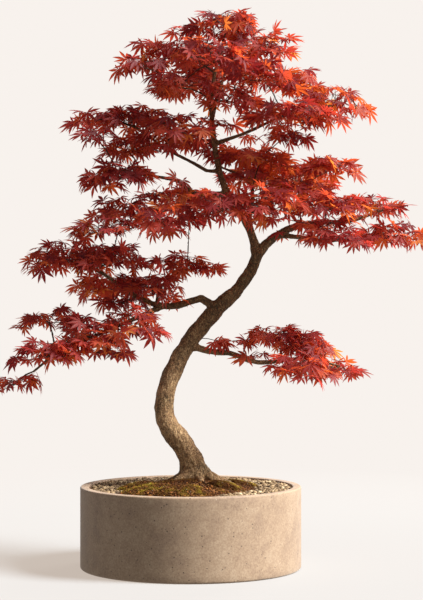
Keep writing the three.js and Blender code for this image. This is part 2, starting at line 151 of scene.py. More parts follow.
def ramp(
    material: bpy.types.Material, factor: bpy.types.NodeSocket, stops: Sequence[tuple[float, str]]
) -> bpy.types.NodeSocket:
    """Colour a factor through a list of stops.

    Args:
        material: The material that gets the node.
        factor: The socket that drives the colour.
        stops: Positions from 0 to 1 with sRGB hex colours, in rising order.

    Returns:
        The colour socket.
    """
    node = add_node(material, "ShaderNodeValToRGB", {"Fac": factor})
    elements = node.color_ramp.elements
    while len(elements) < len(stops):
        elements.new(0.5)
    for element, (position, colour) in zip(elements, stops):
        element.position = position
        element.color = linear(colour)
    return node.outputs["Color"]


def mix_colour(
    material: bpy.types.Material,
    share: bpy.types.NodeSocket | float,
    first: bpy.types.NodeSocket | tuple,
    second: bpy.types.NodeSocket | tuple,
    blend: str = "MIX",
) -> bpy.types.NodeSocket:
    """Mix two colours.

    Args:
        material: The material that gets the node.
        share: How much of the second colour shows.
        first: The colour below.
        second: The colour above.
        blend: The way they mix, such as "MIX" or "MULTIPLY".

    Returns:
        The mixed colour's socket.
    """
    inputs = {"Factor": share, 6: first, 7: second}
    node = add_node(material, "ShaderNodeMix", inputs, data_type="RGBA", blend_type=blend)
    return node.outputs[2]


def spread(
    material: bpy.types.Material,
    value: bpy.types.NodeSocket,
    low: float,
    high: float,
    to_low: float = 0.0,
    to_high: float = 1.0,
) -> bpy.types.NodeSocket:
    """Map a value from one range to another, and clamp it.

    Args:
        material: The material that gets the node.
        value: The socket to map.
        low: The value that becomes to_low.
        high: The value that becomes to_high.
        to_low: The result at low.
        to_high: The result at high.

    Returns:
        The mapped value's socket.
    """
    inputs = {"Value": value, "From Min": low, "From Max": high, "To Min": to_low, "To Max": to_high}
    return add_node(material, "ShaderNodeMapRange", inputs).outputs["Result"]


# ---------------------------------------------------------------- finishes


@dataclass(frozen=True)
class Finish:
    """A surface finish. Each kind fills in the nodes of one material."""

    name: str

    def make(self) -> bpy.types.Material:
        """Make the material with its shader and output.

        Returns:
            The finished material.
        """
        material = bpy.data.materials.new(self.name)
        material.use_nodes = True
        material.node_tree.nodes.clear()
        shader = self.shade(material)
        add_node(material, "ShaderNodeOutputMaterial", {"Surface": shader})
        return material

    def shade(self, material: bpy.types.Material) -> bpy.types.NodeSocket:
        """Give the material's surface shader.

        Args:
            material: The material that gets the nodes.

        Returns:
            The shader's socket.
        """
        raise NotImplementedError


@dataclass(frozen=True)
class CastStone(Finish):
    """Fine cast stone, cast in a smooth mould: cloudy taupe with specks of sand, and pinholes left by air
    that are painted dark as their shade.
    """

    name: str = "cast_stone_moulded"
    cloud_mm: float = 30
    grain_mm: float = 3.0
    speck_mm: float = 7.0
    pit_mm: float = 12.0

    def shade(self, material: bpy.types.Material) -> bpy.types.NodeSocket:
        """Give the cast stone's shader.

        Args:
            material: The material that gets the nodes.

        Returns:
            The shader's socket.
        """
        place = add_node(material, "ShaderNodeTexCoord").outputs["Object"]
        clouds = add_node(
            material,
            "ShaderNodeTexNoise",
            {"Vector": place, "Scale": per_metre(self.cloud_mm), "Detail": 6.0, "Roughness": 0.62},
        ).outputs["Fac"]
        grain = add_node(
            material,
            "ShaderNodeTexNoise",
            {"Vector": place, "Scale": per_metre(self.grain_mm), "Detail": 5.0, "Roughness": 0.75},
        ).outputs["Fac"]
        sand = add_node(
            material, "ShaderNodeTexVoronoi", {"Vector": place, "Scale": per_metre(self.speck_mm)}
        )
        pits = add_node(material, "ShaderNodeTexVoronoi", {"Vector": place, "Scale": per_metre(self.pit_mm)})
        base = ramp(material, clouds, [(0.3, "9A8572"), (0.5, "AA957F"), (0.7, "B4A18C")])
        grain_tone = ramp(material, grain, [(0.34, "524840"), (0.66, "BCB4AA")])
        grained = mix_colour(material, 0.75, base, grain_tone, "SOFT_LIGHT")
        dark_speck = spread(material, sand.outputs["Distance"], 0.08, 0.15, 0.8, 0.0)
        speck_tone = ramp(
            material,
            sand.outputs["Color"],
            [(0.0, "4E3F33"), (0.55, "6E5A48"), (0.6, "8E7A68"), (0.9, "9A8874"), (0.94, "D9C9B3")],
        )
        specked = mix_colour(material, dark_speck, grained, speck_tone)
        hole = spread(material, pits.outputs["Distance"], 0.07, 0.12, 1.0, 0.0)
        # Painted shade: the pinholes are painted dark, standing in for the shade inside them; the bump only
        # dents them a little.
        colour = mix_colour(material, spread(material, hole, 0, 1, 0, 0.75), specked, linear("3C3026"))
        grain_height = spread(material, grain, 0.2, 0.8, 0, 0.3)
        relief = add_node(
            material, "ShaderNodeMath", {0: grain_height, 1: hole}, operation="SUBTRACT"
        ).outputs["Value"]
        bump = add_node(
            material, "ShaderNodeBump", {"Height": relief, "Strength": 0.35, "Distance": 0.5 * MM}
        )
        rough = spread(material, clouds, 0.3, 0.7, 0.62, 0.8)
        return add_node(
            material,
            "ShaderNodeBsdfPrincipled",
            {
                "Base Color": colour,
                "Roughness": rough,
                "Normal": bump.outputs["Normal"],
                "Sheen Weight": 0.22,
                "Sheen Roughness": 0.5,
            },
        ).outputs["BSDF"]


@dataclass(frozen=True)
class Bark(Finish):
    """Maple bark, grown: grey-brown skin with pale ridges, dark furrows along the wood, and lichen bloom.

    Furrows are drawn at 3.2 mm and flecks at 1.7 mm, the finest that still show at the tree's full view. From
    0.28 m up to 0.44 m the wood darkens into a duller tone, painted shade of the canopy over the upper limbs,
    so the trunk below stays paler and warmer.
    """

    name: str = "maple_bark_grown"
    patch_mm: float = 38
    furrow_mm: float = 3.2
    fleck_mm: float = 1.7
    stretch: float = 0.6
    # Heights where the painted shade of the canopy starts, and where it is full.
    unshaded_below: float = 0.28
    shaded_above: float = 0.44

    def shade(self, material: bpy.types.Material) -> bpy.types.NodeSocket:
        """Give the bark's shader.

        Args:
            material: The material that gets the nodes.

        Returns:
            The shader's socket.
        """
        place = add_node(material, "ShaderNodeTexCoord").outputs["Object"]
        along = add_node(
            material, "ShaderNodeMapping", {"Vector": place, "Scale": (1, 1, self.stretch)}
        ).outputs["Vector"]
        patches = add_node(
            material,
            "ShaderNodeTexNoise",
            {"Vector": place, "Scale": per_metre(self.patch_mm), "Detail": 4.0},
        ).outputs["Fac"]
        furrows = add_node(
            material,
            "ShaderNodeTexNoise",
            {
                "Vector": along,
                "Scale": per_metre(self.furrow_mm),
                "Detail": 5.0,
                "Roughness": 0.68,
                "Distortion": 0.6,
            },
        ).outputs["Fac"]
        flecks = add_node(
            material,
            "ShaderNodeTexNoise",
            {"Vector": place, "Scale": per_metre(self.fleck_mm), "Detail": 3.0},
        ).outputs["Fac"]
        skin = ramp(
            material, furrows, [(0.34, "352A1C"), (0.45, "6C583E"), (0.55, "A48A66"), (0.66, "EAD3AE")]
        )
        bloom = ramp(material, patches, [(0.36, "62563C"), (0.5, "9C8060"), (0.64, "CDB08C")])
        toned = mix_colour(material, 0.45, skin, bloom)
        fleck_tone = ramp(material, flecks, [(0.4, "2E241C"), (0.6, "DCCAB2")])
        flecked = mix_colour(material, 0.75, toned, fleck_tone, "SOFT_LIGHT")
        girth = add_node(material, "ShaderNodeAttribute", attribute_name="girth").outputs["Fac"]
        thin = spread(material, girth, 2 * MM, 8 * MM, 0.75, 0.0)
        aged = mix_colour(material, thin, flecked, linear("4E3D2E"))
        # Painted shade: the wood is darkened with height, standing in for the canopy's shade over the upper
        # limbs.
        up = add_node(material, "ShaderNodeSeparateXYZ", {"Vector": place}).outputs["Z"]
        shade_share = spread(material, up, self.unshaded_below, self.shaded_above)
        under_canopy = mix_colour(material, 1.0, aged, linear("C2BAA8"), "MULTIPLY")
        colour = mix_colour(material, shade_share, aged, under_canopy)
        height = add_node(
            material, "ShaderNodeMath", {0: furrows, 1: flecks}, operation="ADD"
        ).outputs["Value"]
        bump = add_node(material, "ShaderNodeBump", {"Height": height, "Strength": 0.9, "Distance": 1.2 * MM})
        return add_node(
            material,
            "ShaderNodeBsdfPrincipled",
            {"Base Color": colour, "Roughness": 0.82, "Normal": bump.outputs["Normal"]},
        ).outputs["BSDF"]


@dataclass(frozen=True)
class TwigSkin(Finish):
    """Young maple twig, grown: smooth dark red-brown skin with pale pores."""

    name: str = "maple_twig_grown"
    pore_mm: float = 2.4

    def shade(self, material: bpy.types.Material) -> bpy.types.NodeSocket:
        """Give the twig's shader.

        Args:
            material: The material that gets the nodes.

        Returns:
            The shader's socket.
        """
        place = add_node(material, "ShaderNodeTexCoord").outputs["Object"]
        pores = add_node(
            material, "ShaderNodeTexNoise", {"Vector": place, "Scale": per_metre(self.pore_mm), "Detail": 2.0}
        ).outputs["Fac"]
        colour = ramp(material, pores, [(0.3, "2E1A16"), (0.55, "4A2B22"), (0.75, "6E4A38")])
        bump = add_node(material, "ShaderNodeBump", {"Height": pores, "Strength": 0.3, "Distance": 0.3 * MM})
        return add_node(
            material,
            "ShaderNodeBsdfPrincipled",
            {"Base Color": colour, "Roughness": 0.6, "Normal": bump.outputs["Normal"]},
        ).outputs["BSDF"]


@dataclass(frozen=True)
class LeafSkin(Finish):
    """Maple leaf, grown: a thin crimson blade that glows orange where light comes through, with pale ribs.

    The blade reads the map "Lobe", which runs along and across each lobe, and "tone", one value for a leaf.
    """

    name: str = "maple_leaf_grown"
    glow: float = 0.54
    rib_width: float = 0.12

    def shade(self, material: bpy.types.Material) -> bpy.types.NodeSocket:
        """Give the leaf's shader, part reflecting and part letting light through.

        Args:
            material: The material that gets the nodes.

        Returns:
            The shader's socket.
        """
        lobe = add_node(material, "ShaderNodeUVMap", uv_map="Lobe").outputs["UV"]
        tone = add_node(material, "ShaderNodeAttribute", attribute_name="tone").outputs["Fac"]
        parts = add_node(material, "ShaderNodeSeparateXYZ", {"Vector": lobe})
        along, across = parts.outputs["X"], parts.outputs["Y"]
        off_rib = add_node(
            material, "ShaderNodeMath", {0: across, 1: 0.5}, operation="SUBTRACT"
        ).outputs["Value"]
        from_rib = add_node(material, "ShaderNodeMath", {0: off_rib}, operation="ABSOLUTE").outputs["Value"]
        rib = spread(material, from_rib, 0.0, self.rib_width, 0.55, 0.0)
        skin = ramp(
            material,
            tone,
            [(0.0, "501E28"), (0.25, "782E34"), (0.5, "943A38"), (0.75, "AE4E3C"), (1.0, "CC824C")],
        )
        lit = ramp(material, tone, [(0.0, "AC2E2E"), (0.3, "CC4432"), (0.6, "EA682C"), (1.0, "FFAE4C")])
        tip = spread(material, along, 0.5, 1.0, 0.0, 0.45)
        shaded = mix_colour(material, tip, skin, linear("541418"))
        ribbed = mix_colour(material, rib, shaded, linear("A8523E"))
        stalk = spread(material, along, -0.3, -0.1, 1.0, 0.0)
        colour = mix_colour(material, stalk, ribbed, linear("7A2318"))
        bump = add_node(material, "ShaderNodeBump", {"Height": rib, "Strength": 0.4, "Distance": 0.4 * MM})
        surface = add_node(
            material,
            "ShaderNodeBsdfPrincipled",
            {
                "Base Color": colour,
                "Roughness": 0.55,
                "Specular IOR Level": 0.3,
                "Normal": bump.outputs["Normal"],
            },
        )
        through = add_node(material, "ShaderNodeBsdfTranslucent", {"Color": lit})
        return add_node(
            material,
            "ShaderNodeMixShader",
            {"Fac": self.glow, 1: surface.outputs["BSDF"], 2: through.outputs["BSDF"]},
        ).outputs["Shader"]


@dataclass(frozen=True)
class Earth(Finish):
    """Bonsai soil, crumbled and damp: near-black hollows between red-brown crumbs and dead moss."""

    name: str = "bonsai_soil_crumbled"
    patch_mm: float = 22
    crumb_mm: float = 2.4

    def shade(self, material: bpy.types.Material) -> bpy.types.NodeSocket:
        """Give the soil's shader.

        Args:
            material: The material that gets the nodes.

        Returns:
            The shader's socket.
        """
        place = add_node(material, "ShaderNodeTexCoord").outputs["Object"]
        patches = add_node(
            material,
            "ShaderNodeTexNoise",
            {"Vector": place, "Scale": per_metre(self.patch_mm), "Detail": 3.0},
        ).outputs["Fac"]
        crumbs = add_node(
            material, "ShaderNodeTexVoronoi", {"Vector": place, "Scale": per_metre(self.crumb_mm)}
        )
        damp = ramp(material, patches, [(0.35, "583212"), (0.55, "84501A"), (0.7, "8C6A1E")])
        tones = ramp(material, crumbs.outputs["Color"], [(0.0, "2C1C0C"), (0.5, "704720"), (1.0, "A2733A")])
        colour = mix_colour(material, 0.45, damp, tones)
        bump = add_node(
            material,
            "ShaderNodeBump",
            {"Height": crumbs.outputs["Distance"], "Strength": 0.8, "Distance": 1.2 * MM},
            invert=True,
        )
        return add_node(
            material,
            "ShaderNodeBsdfPrincipled",
            {"Base Color": colour, "Roughness": 0.95, "Normal": bump.outputs["Normal"]},
        ).outputs["BSDF"]


@dataclass(frozen=True)
class Toned(Finish):
    """Small grown or broken bits whose colour follows each bit's own "tone", mottled by a fine noise."""

    stops: tuple[tuple[float, str], ...] = ()
    mottle_mm: float = 1.5
    roughness: float = 0.85
    depth_mm: float = 0.3

    def shade(self, material: bpy.types.Material) -> bpy.types.NodeSocket:
        """Give the shader of the bits.

        Args:
            material: The material that gets the nodes.

        Returns:
            The shader's socket.
        """
        tone = add_node(material, "ShaderNodeAttribute", attribute_name="tone").outputs["Fac"]
        place = add_node(material, "ShaderNodeTexCoord").outputs["Object"]
        mottle = add_node(
            material,
            "ShaderNodeTexNoise",
            {"Vector": place, "Scale": per_metre(self.mottle_mm), "Detail": 3.0},
        ).outputs["Fac"]
        base = ramp(material, tone, self.stops)
        mottle_tone = ramp(material, mottle, [(0.3, "4A4038"), (0.7, "C9BEB0")])
        colour = mix_colour(material, 0.6, base, mottle_tone, "SOFT_LIGHT")
        bump = add_node(
            material, "ShaderNodeBump", {"Height": mottle, "Strength": 0.5, "Distance": self.depth_mm * MM}
        )
        return add_node(
            material,
            "ShaderNodeBsdfPrincipled",
            {"Base Color": colour, "Roughness": self.roughness, "Normal": bump.outputs["Normal"]},
        ).outputs["BSDF"]


# Rounded river grit: cream, tan and grey-brown grains with a dull, dusty face.
GRIT = Toned(
    "river_grit_tumbled",
    ((0.0, "463826"), (0.3, "6E5B42"), (0.6, "8E7A5C"), (0.85, "A99474"), (1.0, "CDBD9E")),
    roughness=0.8,
)
# Cushion moss: yellow-green living shoots, with brown shoots where it has died back.
MOSS_SHOOTS = Toned(
    "cushion_moss_grown",
    ((0.0, "44260C"), (0.35, "704412"), (0.55, "744E10"), (0.72, "806616"), (1.0, "AC9828")),
    mottle_mm=4,
    roughness=0.9,
)
# Soil crumbs: broken red-brown clay granules and bits of bark.
CRUMBS = Toned(
    "clay_granules_broken",
    ((0.0, "3E2208"), (0.5, "784618"), (0.85, "9C6422"), (1.0, "BC8C44")),
    roughness=0.95,
)


@dataclass(frozen=True)
class MeshPlastic(Finish):
    """Polyethylene drainage mesh, extruded: dull black with a faint square weave of strands."""

    name: str = "polyethylene_extruded"
    strand_mm: float = 2.5

    def shade(self, material: bpy.types.Material) -> bpy.types.NodeSocket:
        """Give the plastic's shader.

        Args:
            material: The material that gets the nodes.

        Returns:
            The shader's socket.
        """
        place = add_node(material, "ShaderNodeTexCoord").outputs["Object"]
        strands = add_node(
            material,
            "ShaderNodeTexBrick",
            {
                "Vector": place,
                "Scale": per_metre(self.strand_mm),
                "Mortar Size": 0.12,
                "Brick Width": 1.0,
                "Row Height": 1.0,
            },
            offset=0.0,
        )
        colour = mix_colour(material, strands.outputs["Fac"], linear("0B0B0B"), linear("2A2A2A"))
        bump = add_node(
            material,
            "ShaderNodeBump",
            {"Height": strands.outputs["Fac"], "Strength": 0.8, "Distance": 0.6 * MM},
        )
        return add_node(
            material,
            "ShaderNodeBsdfPrincipled",
            {"Base Color": colour, "Roughness": 0.55, "Normal": bump.outputs["Normal"]},
        ).outputs["BSDF"]


# ---------------------------------------------------------------- mesh helpers


def cad_bmesh(*nodes: str) -> bmesh.types.BMesh:
    """Copy CAD nodes into one bmesh with their shared corners merged.

    Args:
        *nodes: The names of the CAD nodes.

    Returns:
        A new bmesh, which the caller frees.
    """
    bm = bmesh.new()
    for node in nodes:
        bm.from_mesh(frame["nodes"][node].data)
    bmesh.ops.remove_doubles(bm, verts=bm.verts, dist=WELD)
    return bm


def cad_surface(*nodes: str) -> BVHTree:
    """Give a search tree over the surface of CAD nodes.

    Args:
        *nodes: The names of the CAD nodes.

    Returns:
        The search tree.
    """
    bm = cad_bmesh(*nodes)
    tree = BVHTree.FromBMesh(bm)
    bm.free()
    return tree


def finished(name: str, bm: bmesh.types.BMesh, material: bpy.types.Material) -> bpy.types.Object:
    """Turn a bmesh into a smooth piece of the object that rides on the root body.

    Args:
        name: The piece's name.
        bm: Its mesh, which is freed.
        material: Its material.

    Returns:
        The new object.
    """
    mesh = bpy.data.meshes.new(name)
    bm.to_mesh(mesh)
    bm.free()
    mesh.polygons.foreach_set("use_smooth", [True] * len(mesh.polygons))
    mesh.materials.append(material)
    piece = bpy.data.objects.new(name, mesh)
    bpy.context.scene.collection.objects.link(piece)
    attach(piece, BODY)
    log.info("%s: %d faces", name, len(mesh.polygons))
    return piece


def evaluated(bm: bmesh.types.BMesh, prepare: Callable[[bpy.types.Object], None]) -> bmesh.types.BMesh:
    """Run modifiers over a bmesh.

    Args:
        bm: The mesh to change, which is freed.
        prepare: Adds the modifiers to the object that it is given.

    Returns:
        A new bmesh with the modifiers applied.
    """
    mesh = bpy.data.meshes.new("work")
    bm.to_mesh(mesh)
    bm.free()
    work = bpy.data.objects.new("work", mesh)
    bpy.context.scene.collection.objects.link(work)
    prepare(work)
    depsgraph = bpy.context.evaluated_depsgraph_get()
    result = bmesh.new()
    result.from_object(work, depsgraph)
    bpy.data.objects.remove(work)
    bpy.data.meshes.remove(mesh)
    return result


def remeshed(bm: bmesh.types.BMesh, voxel: float) -> bmesh.types.BMesh:
    """Rebuild a closed mesh from even voxels.

    Args:
        bm: The mesh, which is freed.
        voxel: The size of a voxel.

    Returns:
        A new, evenly faced bmesh.
    """

    def prepare(work: bpy.types.Object) -> None:
        """Add the voxel remesh.

        Args:
            work: The object that is rebuilt.
        """
        modifier = work.modifiers.new("voxels", "REMESH")
        modifier.mode = "VOXEL"
        modifier.voxel_size = voxel

    return evaluated(bm, prepare)


def displaced(bm: bmesh.types.BMesh, height: Callable[[bmesh.types.BMVert], float]) -> None:
    """Move each vertex along its normal by the height that a function gives it.

    Args:
        bm: The mesh that changes.
        height: Gives the height at a vertex.
    """
    bm.normal_update()
    moves = [(v, v.normal * height(v)) for v in bm.verts]
    for vert, move in moves:
        vert.co += move


def ridged(place: Vector, size: float) -> float:
    """Give a noise from 0 to 1 whose crests are sharp.

    Args:
        place: Where the noise is read.
        size: The spacing of its crests.

    Returns:
        The noise's value.
    """
    return 1 - abs(noise.noise(place / size))


def turned_to(direction: Vector, normal: Vector, roll: float = 0.0) -> Matrix:
    """Give the turn that lays +Y along a direction, with +Z as near as it can be to a normal.

    Args:
        direction: Where +Y goes.
        normal: Where +Z should point.
        roll: A further turn about the direction, in radians.

    Returns:
        A 4x4 rotation.
    """
    along = direction.normalized()
    side = along.cross(normal).normalized()
    top = side.cross(along)
    turn = Matrix((side, along, top)).transposed().to_4x4()
    return turn @ Matrix.Rotation(roll, 4, "Y")


class Pile:
    """Turned and scaled copies of a few small meshes, gathered in one mesh with a "tone" for each copy."""

    def __init__(self, bed: bmesh.types.BMesh | None = None) -> None:
        """Start a pile, empty or on a bed of its own.

        Args:
            bed: The mesh that the copies lie on, which becomes part of the pile.
        """
        self.bm = bed or bmesh.new()
        self.count = 0

    def add(self, pattern: bpy.types.Mesh, place: Matrix, tone: float) -> None:
        """Add one copy.

        Args:
            pattern: The small mesh, which has a "tone" on its points.
            place: Where the copy goes.
            tone: The copy's tone, from 0 to 1.
        """
        copy = pattern.copy()
        copy.transform(place)
        copy.attributes["tone"].data.foreach_set("value", [tone] * len(copy.vertices))
        self.bm.from_mesh(copy)
        bpy.data.meshes.remove(copy)
        self.count += 1


def pattern_mesh(name: str, bm: bmesh.types.BMesh) -> bpy.types.Mesh:
    """Keep a small bmesh as a pattern for a pile, with a "tone" on its points.

    Args:
        name: The pattern's name.
        bm: Its mesh, which is freed.

    Returns:
        The pattern.
    """
    mesh = bpy.data.meshes.new(name)
    bm.to_mesh(mesh)
    bm.free()
    mesh.attributes.new("tone", "FLOAT", "POINT")
    return mesh


# ---------------------------------------------------------------- pot


@dataclass
class Pot:
    """The round cast-stone pot, with its drain holes and the mesh over them."""

    wall: float = 14 * MM
    rim_rounding: float = 2.6 * MM
    foot_rounding: float = 3.6 * MM
    drain_radius: float = 10 * MM
    steps: int = 176
    courses: int = 10

    def __post_init__(self) -> None:
        """Read the pot's own sizes from the frame."""
        low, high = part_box("pot")
        self.radius = high.x
        self.height = high.z
        mesh_low, mesh_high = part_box("drainage_mesh_right")
        self.floor = mesh_low.z
        self.drain_offset = (mesh_low.x + mesh_high.x) / 2

    def shell(self) -> bmesh.types.BMesh:
        """Spin the pot's section round its axis and round its edges.

        Returns:
            The solid shell, with no holes yet.
        """
        bm = bmesh.new()
        inner = self.radius - self.wall
        outline = [(0, 0), (self.radius, 0)]
        outline += [(self.radius, self.height * (i + 1) / self.courses) for i in range(self.courses)]
        outline += [(inner, self.height), (inner, self.floor), (0, self.floor)]
        verts = [bm.verts.new((x, 0, z)) for x, z in outline]
        edges = [bm.edges.new(pair) for pair in zip(verts, verts[1:])]
        bmesh.ops.spin(
            bm, geom=verts + edges, axis=UP, cent=(0, 0, 0), angle=math.tau, steps=self.steps, use_merge=True
        )
        bmesh.ops.remove_doubles(bm, verts=bm.verts, dist=WELD)
        bmesh.ops.recalc_face_normals(bm, faces=bm.faces)
        self.round_ring(bm, inner, self.height, self.rim_rounding)
        self.round_ring(bm, self.radius, self.height, self.rim_rounding)
        self.round_ring(bm, self.radius, 0, self.foot_rounding)
        return bm

    def round_ring(self, bm: bmesh.types.BMesh, radius: float, height: float, rounding: float) -> None:
        """Bevel one of the pot's circular edges.

        Args:
            bm: The pot.
            radius: The edge's radius.
            height: The edge's height.
            rounding: The width of the bevel.
        """
        near = 0.2 * MM

        def on_ring(vert: bmesh.types.BMVert) -> bool:
            """Say whether a vertex lies on the edge."""
            return abs(vert.co.z - height) < near and abs(vert.co.xy.length - radius) < near

        ring = [e for e in bm.edges if all(on_ring(v) for v in e.verts)]
        bmesh.ops.bevel(
            bm,
            geom=ring,
            affect="EDGES",
            offset=rounding,
            offset_type="OFFSET",
            segments=4,
            profile=0.5,
            material=-1,
        )

    def drilled(self, bm: bmesh.types.BMesh) -> bmesh.types.BMesh:
        """Cut the two drain holes through the floor.

        Args:
            bm: The pot, which is freed.

        Returns:
            The pot with its holes.
        """
        drills = bmesh.new()
        for side in (-1, 1):
            bmesh.ops.create_cone(
                drills,
                cap_ends=True,
                segments=40,
                radius1=self.drain_radius,
                radius2=self.drain_radius,
                depth=self.floor * 4,
                matrix=Matrix.Translation((side * self.drain_offset, 0, 0)),
            )
        cutter_mesh = bpy.data.meshes.new("drills")
        drills.to_mesh(cutter_mesh)
        drills.free()
        cutter = bpy.data.objects.new("drills", cutter_mesh)
        bpy.context.scene.collection.objects.link(cutter)

        def prepare(work: bpy.types.Object) -> None:
            """Add the cut.

            Args:
                work: The object that is cut.
            """
            modifier = work.modifiers.new("drains", "BOOLEAN")
            modifier.operation = "DIFFERENCE"
            modifier.solver = "EXACT"
            modifier.object = cutter

        result = evaluated(bm, prepare)
        bpy.data.objects.remove(cutter)
        return result

    def build(self) -> None:
        """Build the pot and finish the drainage meshes."""
        pot = finished("pot_cast_stone", self.drilled(self.shell()), CastStone().make())
        pot.data.set_sharp_from_angle(angle=math.radians(50))
        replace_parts(pot, "pot")
        plastic = MeshPlastic().make()
        for name in ("drainage_mesh_left", "drainage_mesh_right"):
            frame["nodes"][name].data.materials.clear()
            frame["nodes"][name].data.materials.append(plastic)


# ---------------------------------------------------------------- soil, gravel and moss


@dataclass
class Ground:
    """What shows inside the rim: the soil's mound, the ring of grit, the moss and the crumbs between them."""

    seed: int = 11
    voxel: float = 2.4 * MM
    grain_size: tuple[float, float] = (2.4 * MM, 4.4 * MM)
    grain_spacing: float = 4.6 * MM
    grain_tries: int = 19000
    crumb_size: tuple[float, float] = (0.9 * MM, 2.1 * MM)
    crumb_count: int = 1500
    shoot_length: float = 3.4 * MM
    cushion_shoots: int = 1300
    stray_shoots: int = 5600
    stray_tries: int = 60000
    overgrown_turns: tuple[float, float] = (218, 286)
    look_from: float = 30 * MM
    crumbs_below: float = 20 * MM
    cushion_voxel: float = 1.6 * MM

    def __post_init__(self) -> None:
        """Read the ground's surfaces from the frame."""
        self.rng = random.Random(self.seed)
        self.moss_nodes = [n for n in sorted(frame["nodes"]) if n.startswith("moss_")]
        self.order = ["soil", "gravel_bed", *self.moss_nodes, "trunk_and_branches"]
        self.surfaces = {n: cad_surface(n) for n in self.order}
        low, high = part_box("soil")
        self.reach = high.x
        self.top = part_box("pot")[1].z

    def under(self, x: float, y: float) -> tuple[str, Vector, Vector] | None:
        """Find what lies on top at a place.

        Args:
            x: Across.
            y: Front to back.

        Returns:
            The node's name with the point and the normal there, or None off the ground.
        """
        best = None
        for name, surface in self.surfaces.items():
            start = Vector((x, y, self.top + self.look_from))
            point, normal, _, _ = surface.ray_cast(start, -UP)
            if point is not None and (best is None or point.z > best[1].z):
                best = (name, point, normal)
        return best

    def overgrown(self, x: float, y: float) -> bool:
        """Say whether soil and moss have spread over the grit here, as they have along the front rim.

        Args:
            x: Across.
            y: Front to back.

        Returns:
            Whether the grit is covered.
        """
        start, end = self.overgrown_turns
        ragged = 5 * noise.noise(Vector((x, y, 0)) / (12 * MM))
        return start < math.degrees(math.atan2(y, x)) % 360 + ragged < end

    def random_place(self) -> tuple[float, float]:
        """Pick a place inside the rim, evenly over its area.

        Returns:
            The place's x and y.
        """
        radius = self.reach * math.sqrt(self.rng.random())
        turn = self.rng.uniform(0, math.tau)
        return radius * math.cos(turn), radius * math.sin(turn)

    def build_soil(self) -> None:
        """Build the crumbly soil from the CAD soil."""
        bm = remeshed(cad_bmesh("soil"), self.voxel)
        low_edge = 0.75 * self.top

        def height(vert: bmesh.types.BMVert) -> float:
            """Roughen the top only.

            Args:
                vert: A vertex of the soil.

            Returns:
                How far it rises.
            """
            if vert.co.z < low_edge:
                return 0.0
            lumps = noise.noise(vert.co / (16 * MM)) * 1.6
            crumbs = noise.noise(vert.co / (4.5 * MM)) * 0.9
            return (lumps + crumbs) * MM

        displaced(bm, height)
        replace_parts(finished("soil_crumbled", bm, Earth().make()), "soil")

    def pebble_pattern(self, number: int) -> bpy.types.Mesh:
        """Shape one rounded, lumpy grain of unit radius from a cube.

        Args:
            number: Which of the shapes, each lumpy in its own way.

        Returns:
            The grain.
        """
        bm = bmesh.new()
        bmesh.ops.create_cube(bm, size=2)
        bmesh.ops.subdivide_edges(bm, edges=bm.edges, cuts=1, use_grid_fill=True)
        for vert in bm.verts:
            vert.co.normalize()
            vert.co *= 1 + 0.16 * noise.noise(vert.co * 1.3 + Vector((number * 7.1, 0, 0)))
        return pattern_mesh(f"pebble_{number}", bm)

    def grain_matrix(self, point: Vector, size: float, flat: float) -> Matrix:
        """Lay a grain on a point, turned at random and flattened.

        Args:
            point: Where its middle goes.
            size: Its longest radius.
            flat: Its height as a share of that.

        Returns:
            The grain's matrix.
        """
        turn = Matrix.Rotation(self.rng.uniform(0, math.tau), 4, "Z")
        tilt = Matrix.Rotation(self.rng.gauss(0, 0.35), 4, "X")
        scale = Matrix.Diagonal((size, size * self.rng.uniform(0.7, 0.95), size * flat, 1))
        return Matrix.Translation(point) @ turn @ tilt @ scale

    def build_gravel(self) -> None:
        """Lay grains close together all over the gravel bed."""
        patterns = [self.pebble_pattern(i) for i in range(6)]
        pile = Pile()
        placed: dict[tuple[int, int], list[Vector]] = {}
        for _ in range(self.grain_tries):
            x, y = self.random_place()
            size = self.rng.uniform(*self.grain_size)
            if math.hypot(x, y) > self.reach - size:
                continue
            cell = (round(x / self.grain_spacing), round(y / self.grain_spacing))
            cells = [(cell[0] + i, cell[1] + j) for i in (-1, 0, 1) for j in (-1, 0, 1)]
            near = [p for c in cells for p in placed.get(c, [])]
            spot = Vector((x, y))
            if any((spot - p).length < self.grain_spacing for p in near):
                continue
            found = self.under(x, y)
            if found is None or found[0] != "gravel_bed" or self.overgrown(x, y):
                continue
            placed.setdefault(cell, []).append(spot)
            lift = UP * size * self.rng.uniform(0.25, 0.8)
            tone = min(1.0, max(0.0, self.rng.gauss(0.52, 0.24)))
            matrix = self.grain_matrix(found[1] + lift, size, self.rng.uniform(0.6, 0.85))
            pile.add(self.rng.choice(patterns), matrix, tone)
        grains = finished("gravel_grains", pile.bm, GRIT.make())
        log.info("%s holds %d grains", grains.name, pile.count)
        bed = frame["nodes"]["gravel_bed"]
        bed.data.materials.clear()
        bed.data.materials.append(Earth("gravel_bed_dust").make())

    def build_crumbs(self) -> None:
        """Scatter soil crumbs over the mound and among the grit."""
        patterns = [self.pebble_pattern(20 + i) for i in range(4)]
        pile = Pile()
        while pile.count < self.crumb_count:
            x, y = self.random_place()
            found = self.under(x, y)
            if found is None or found[0] == "trunk_and_branches" or found[1].z > self.top + self.crumbs_below:
                continue
            if found[0] == "gravel_bed" and not self.overgrown(x, y) and self.rng.random() < 0.75:
                continue
            size = self.rng.uniform(*self.crumb_size)
            matrix = self.grain_matrix(found[1] + UP * size * 0.5, size, self.rng.uniform(0.6, 0.9))
            pile.add(self.rng.choice(patterns), matrix, self.rng.random())
        finished("soil_crumbs", pile.bm, CRUMBS.make())

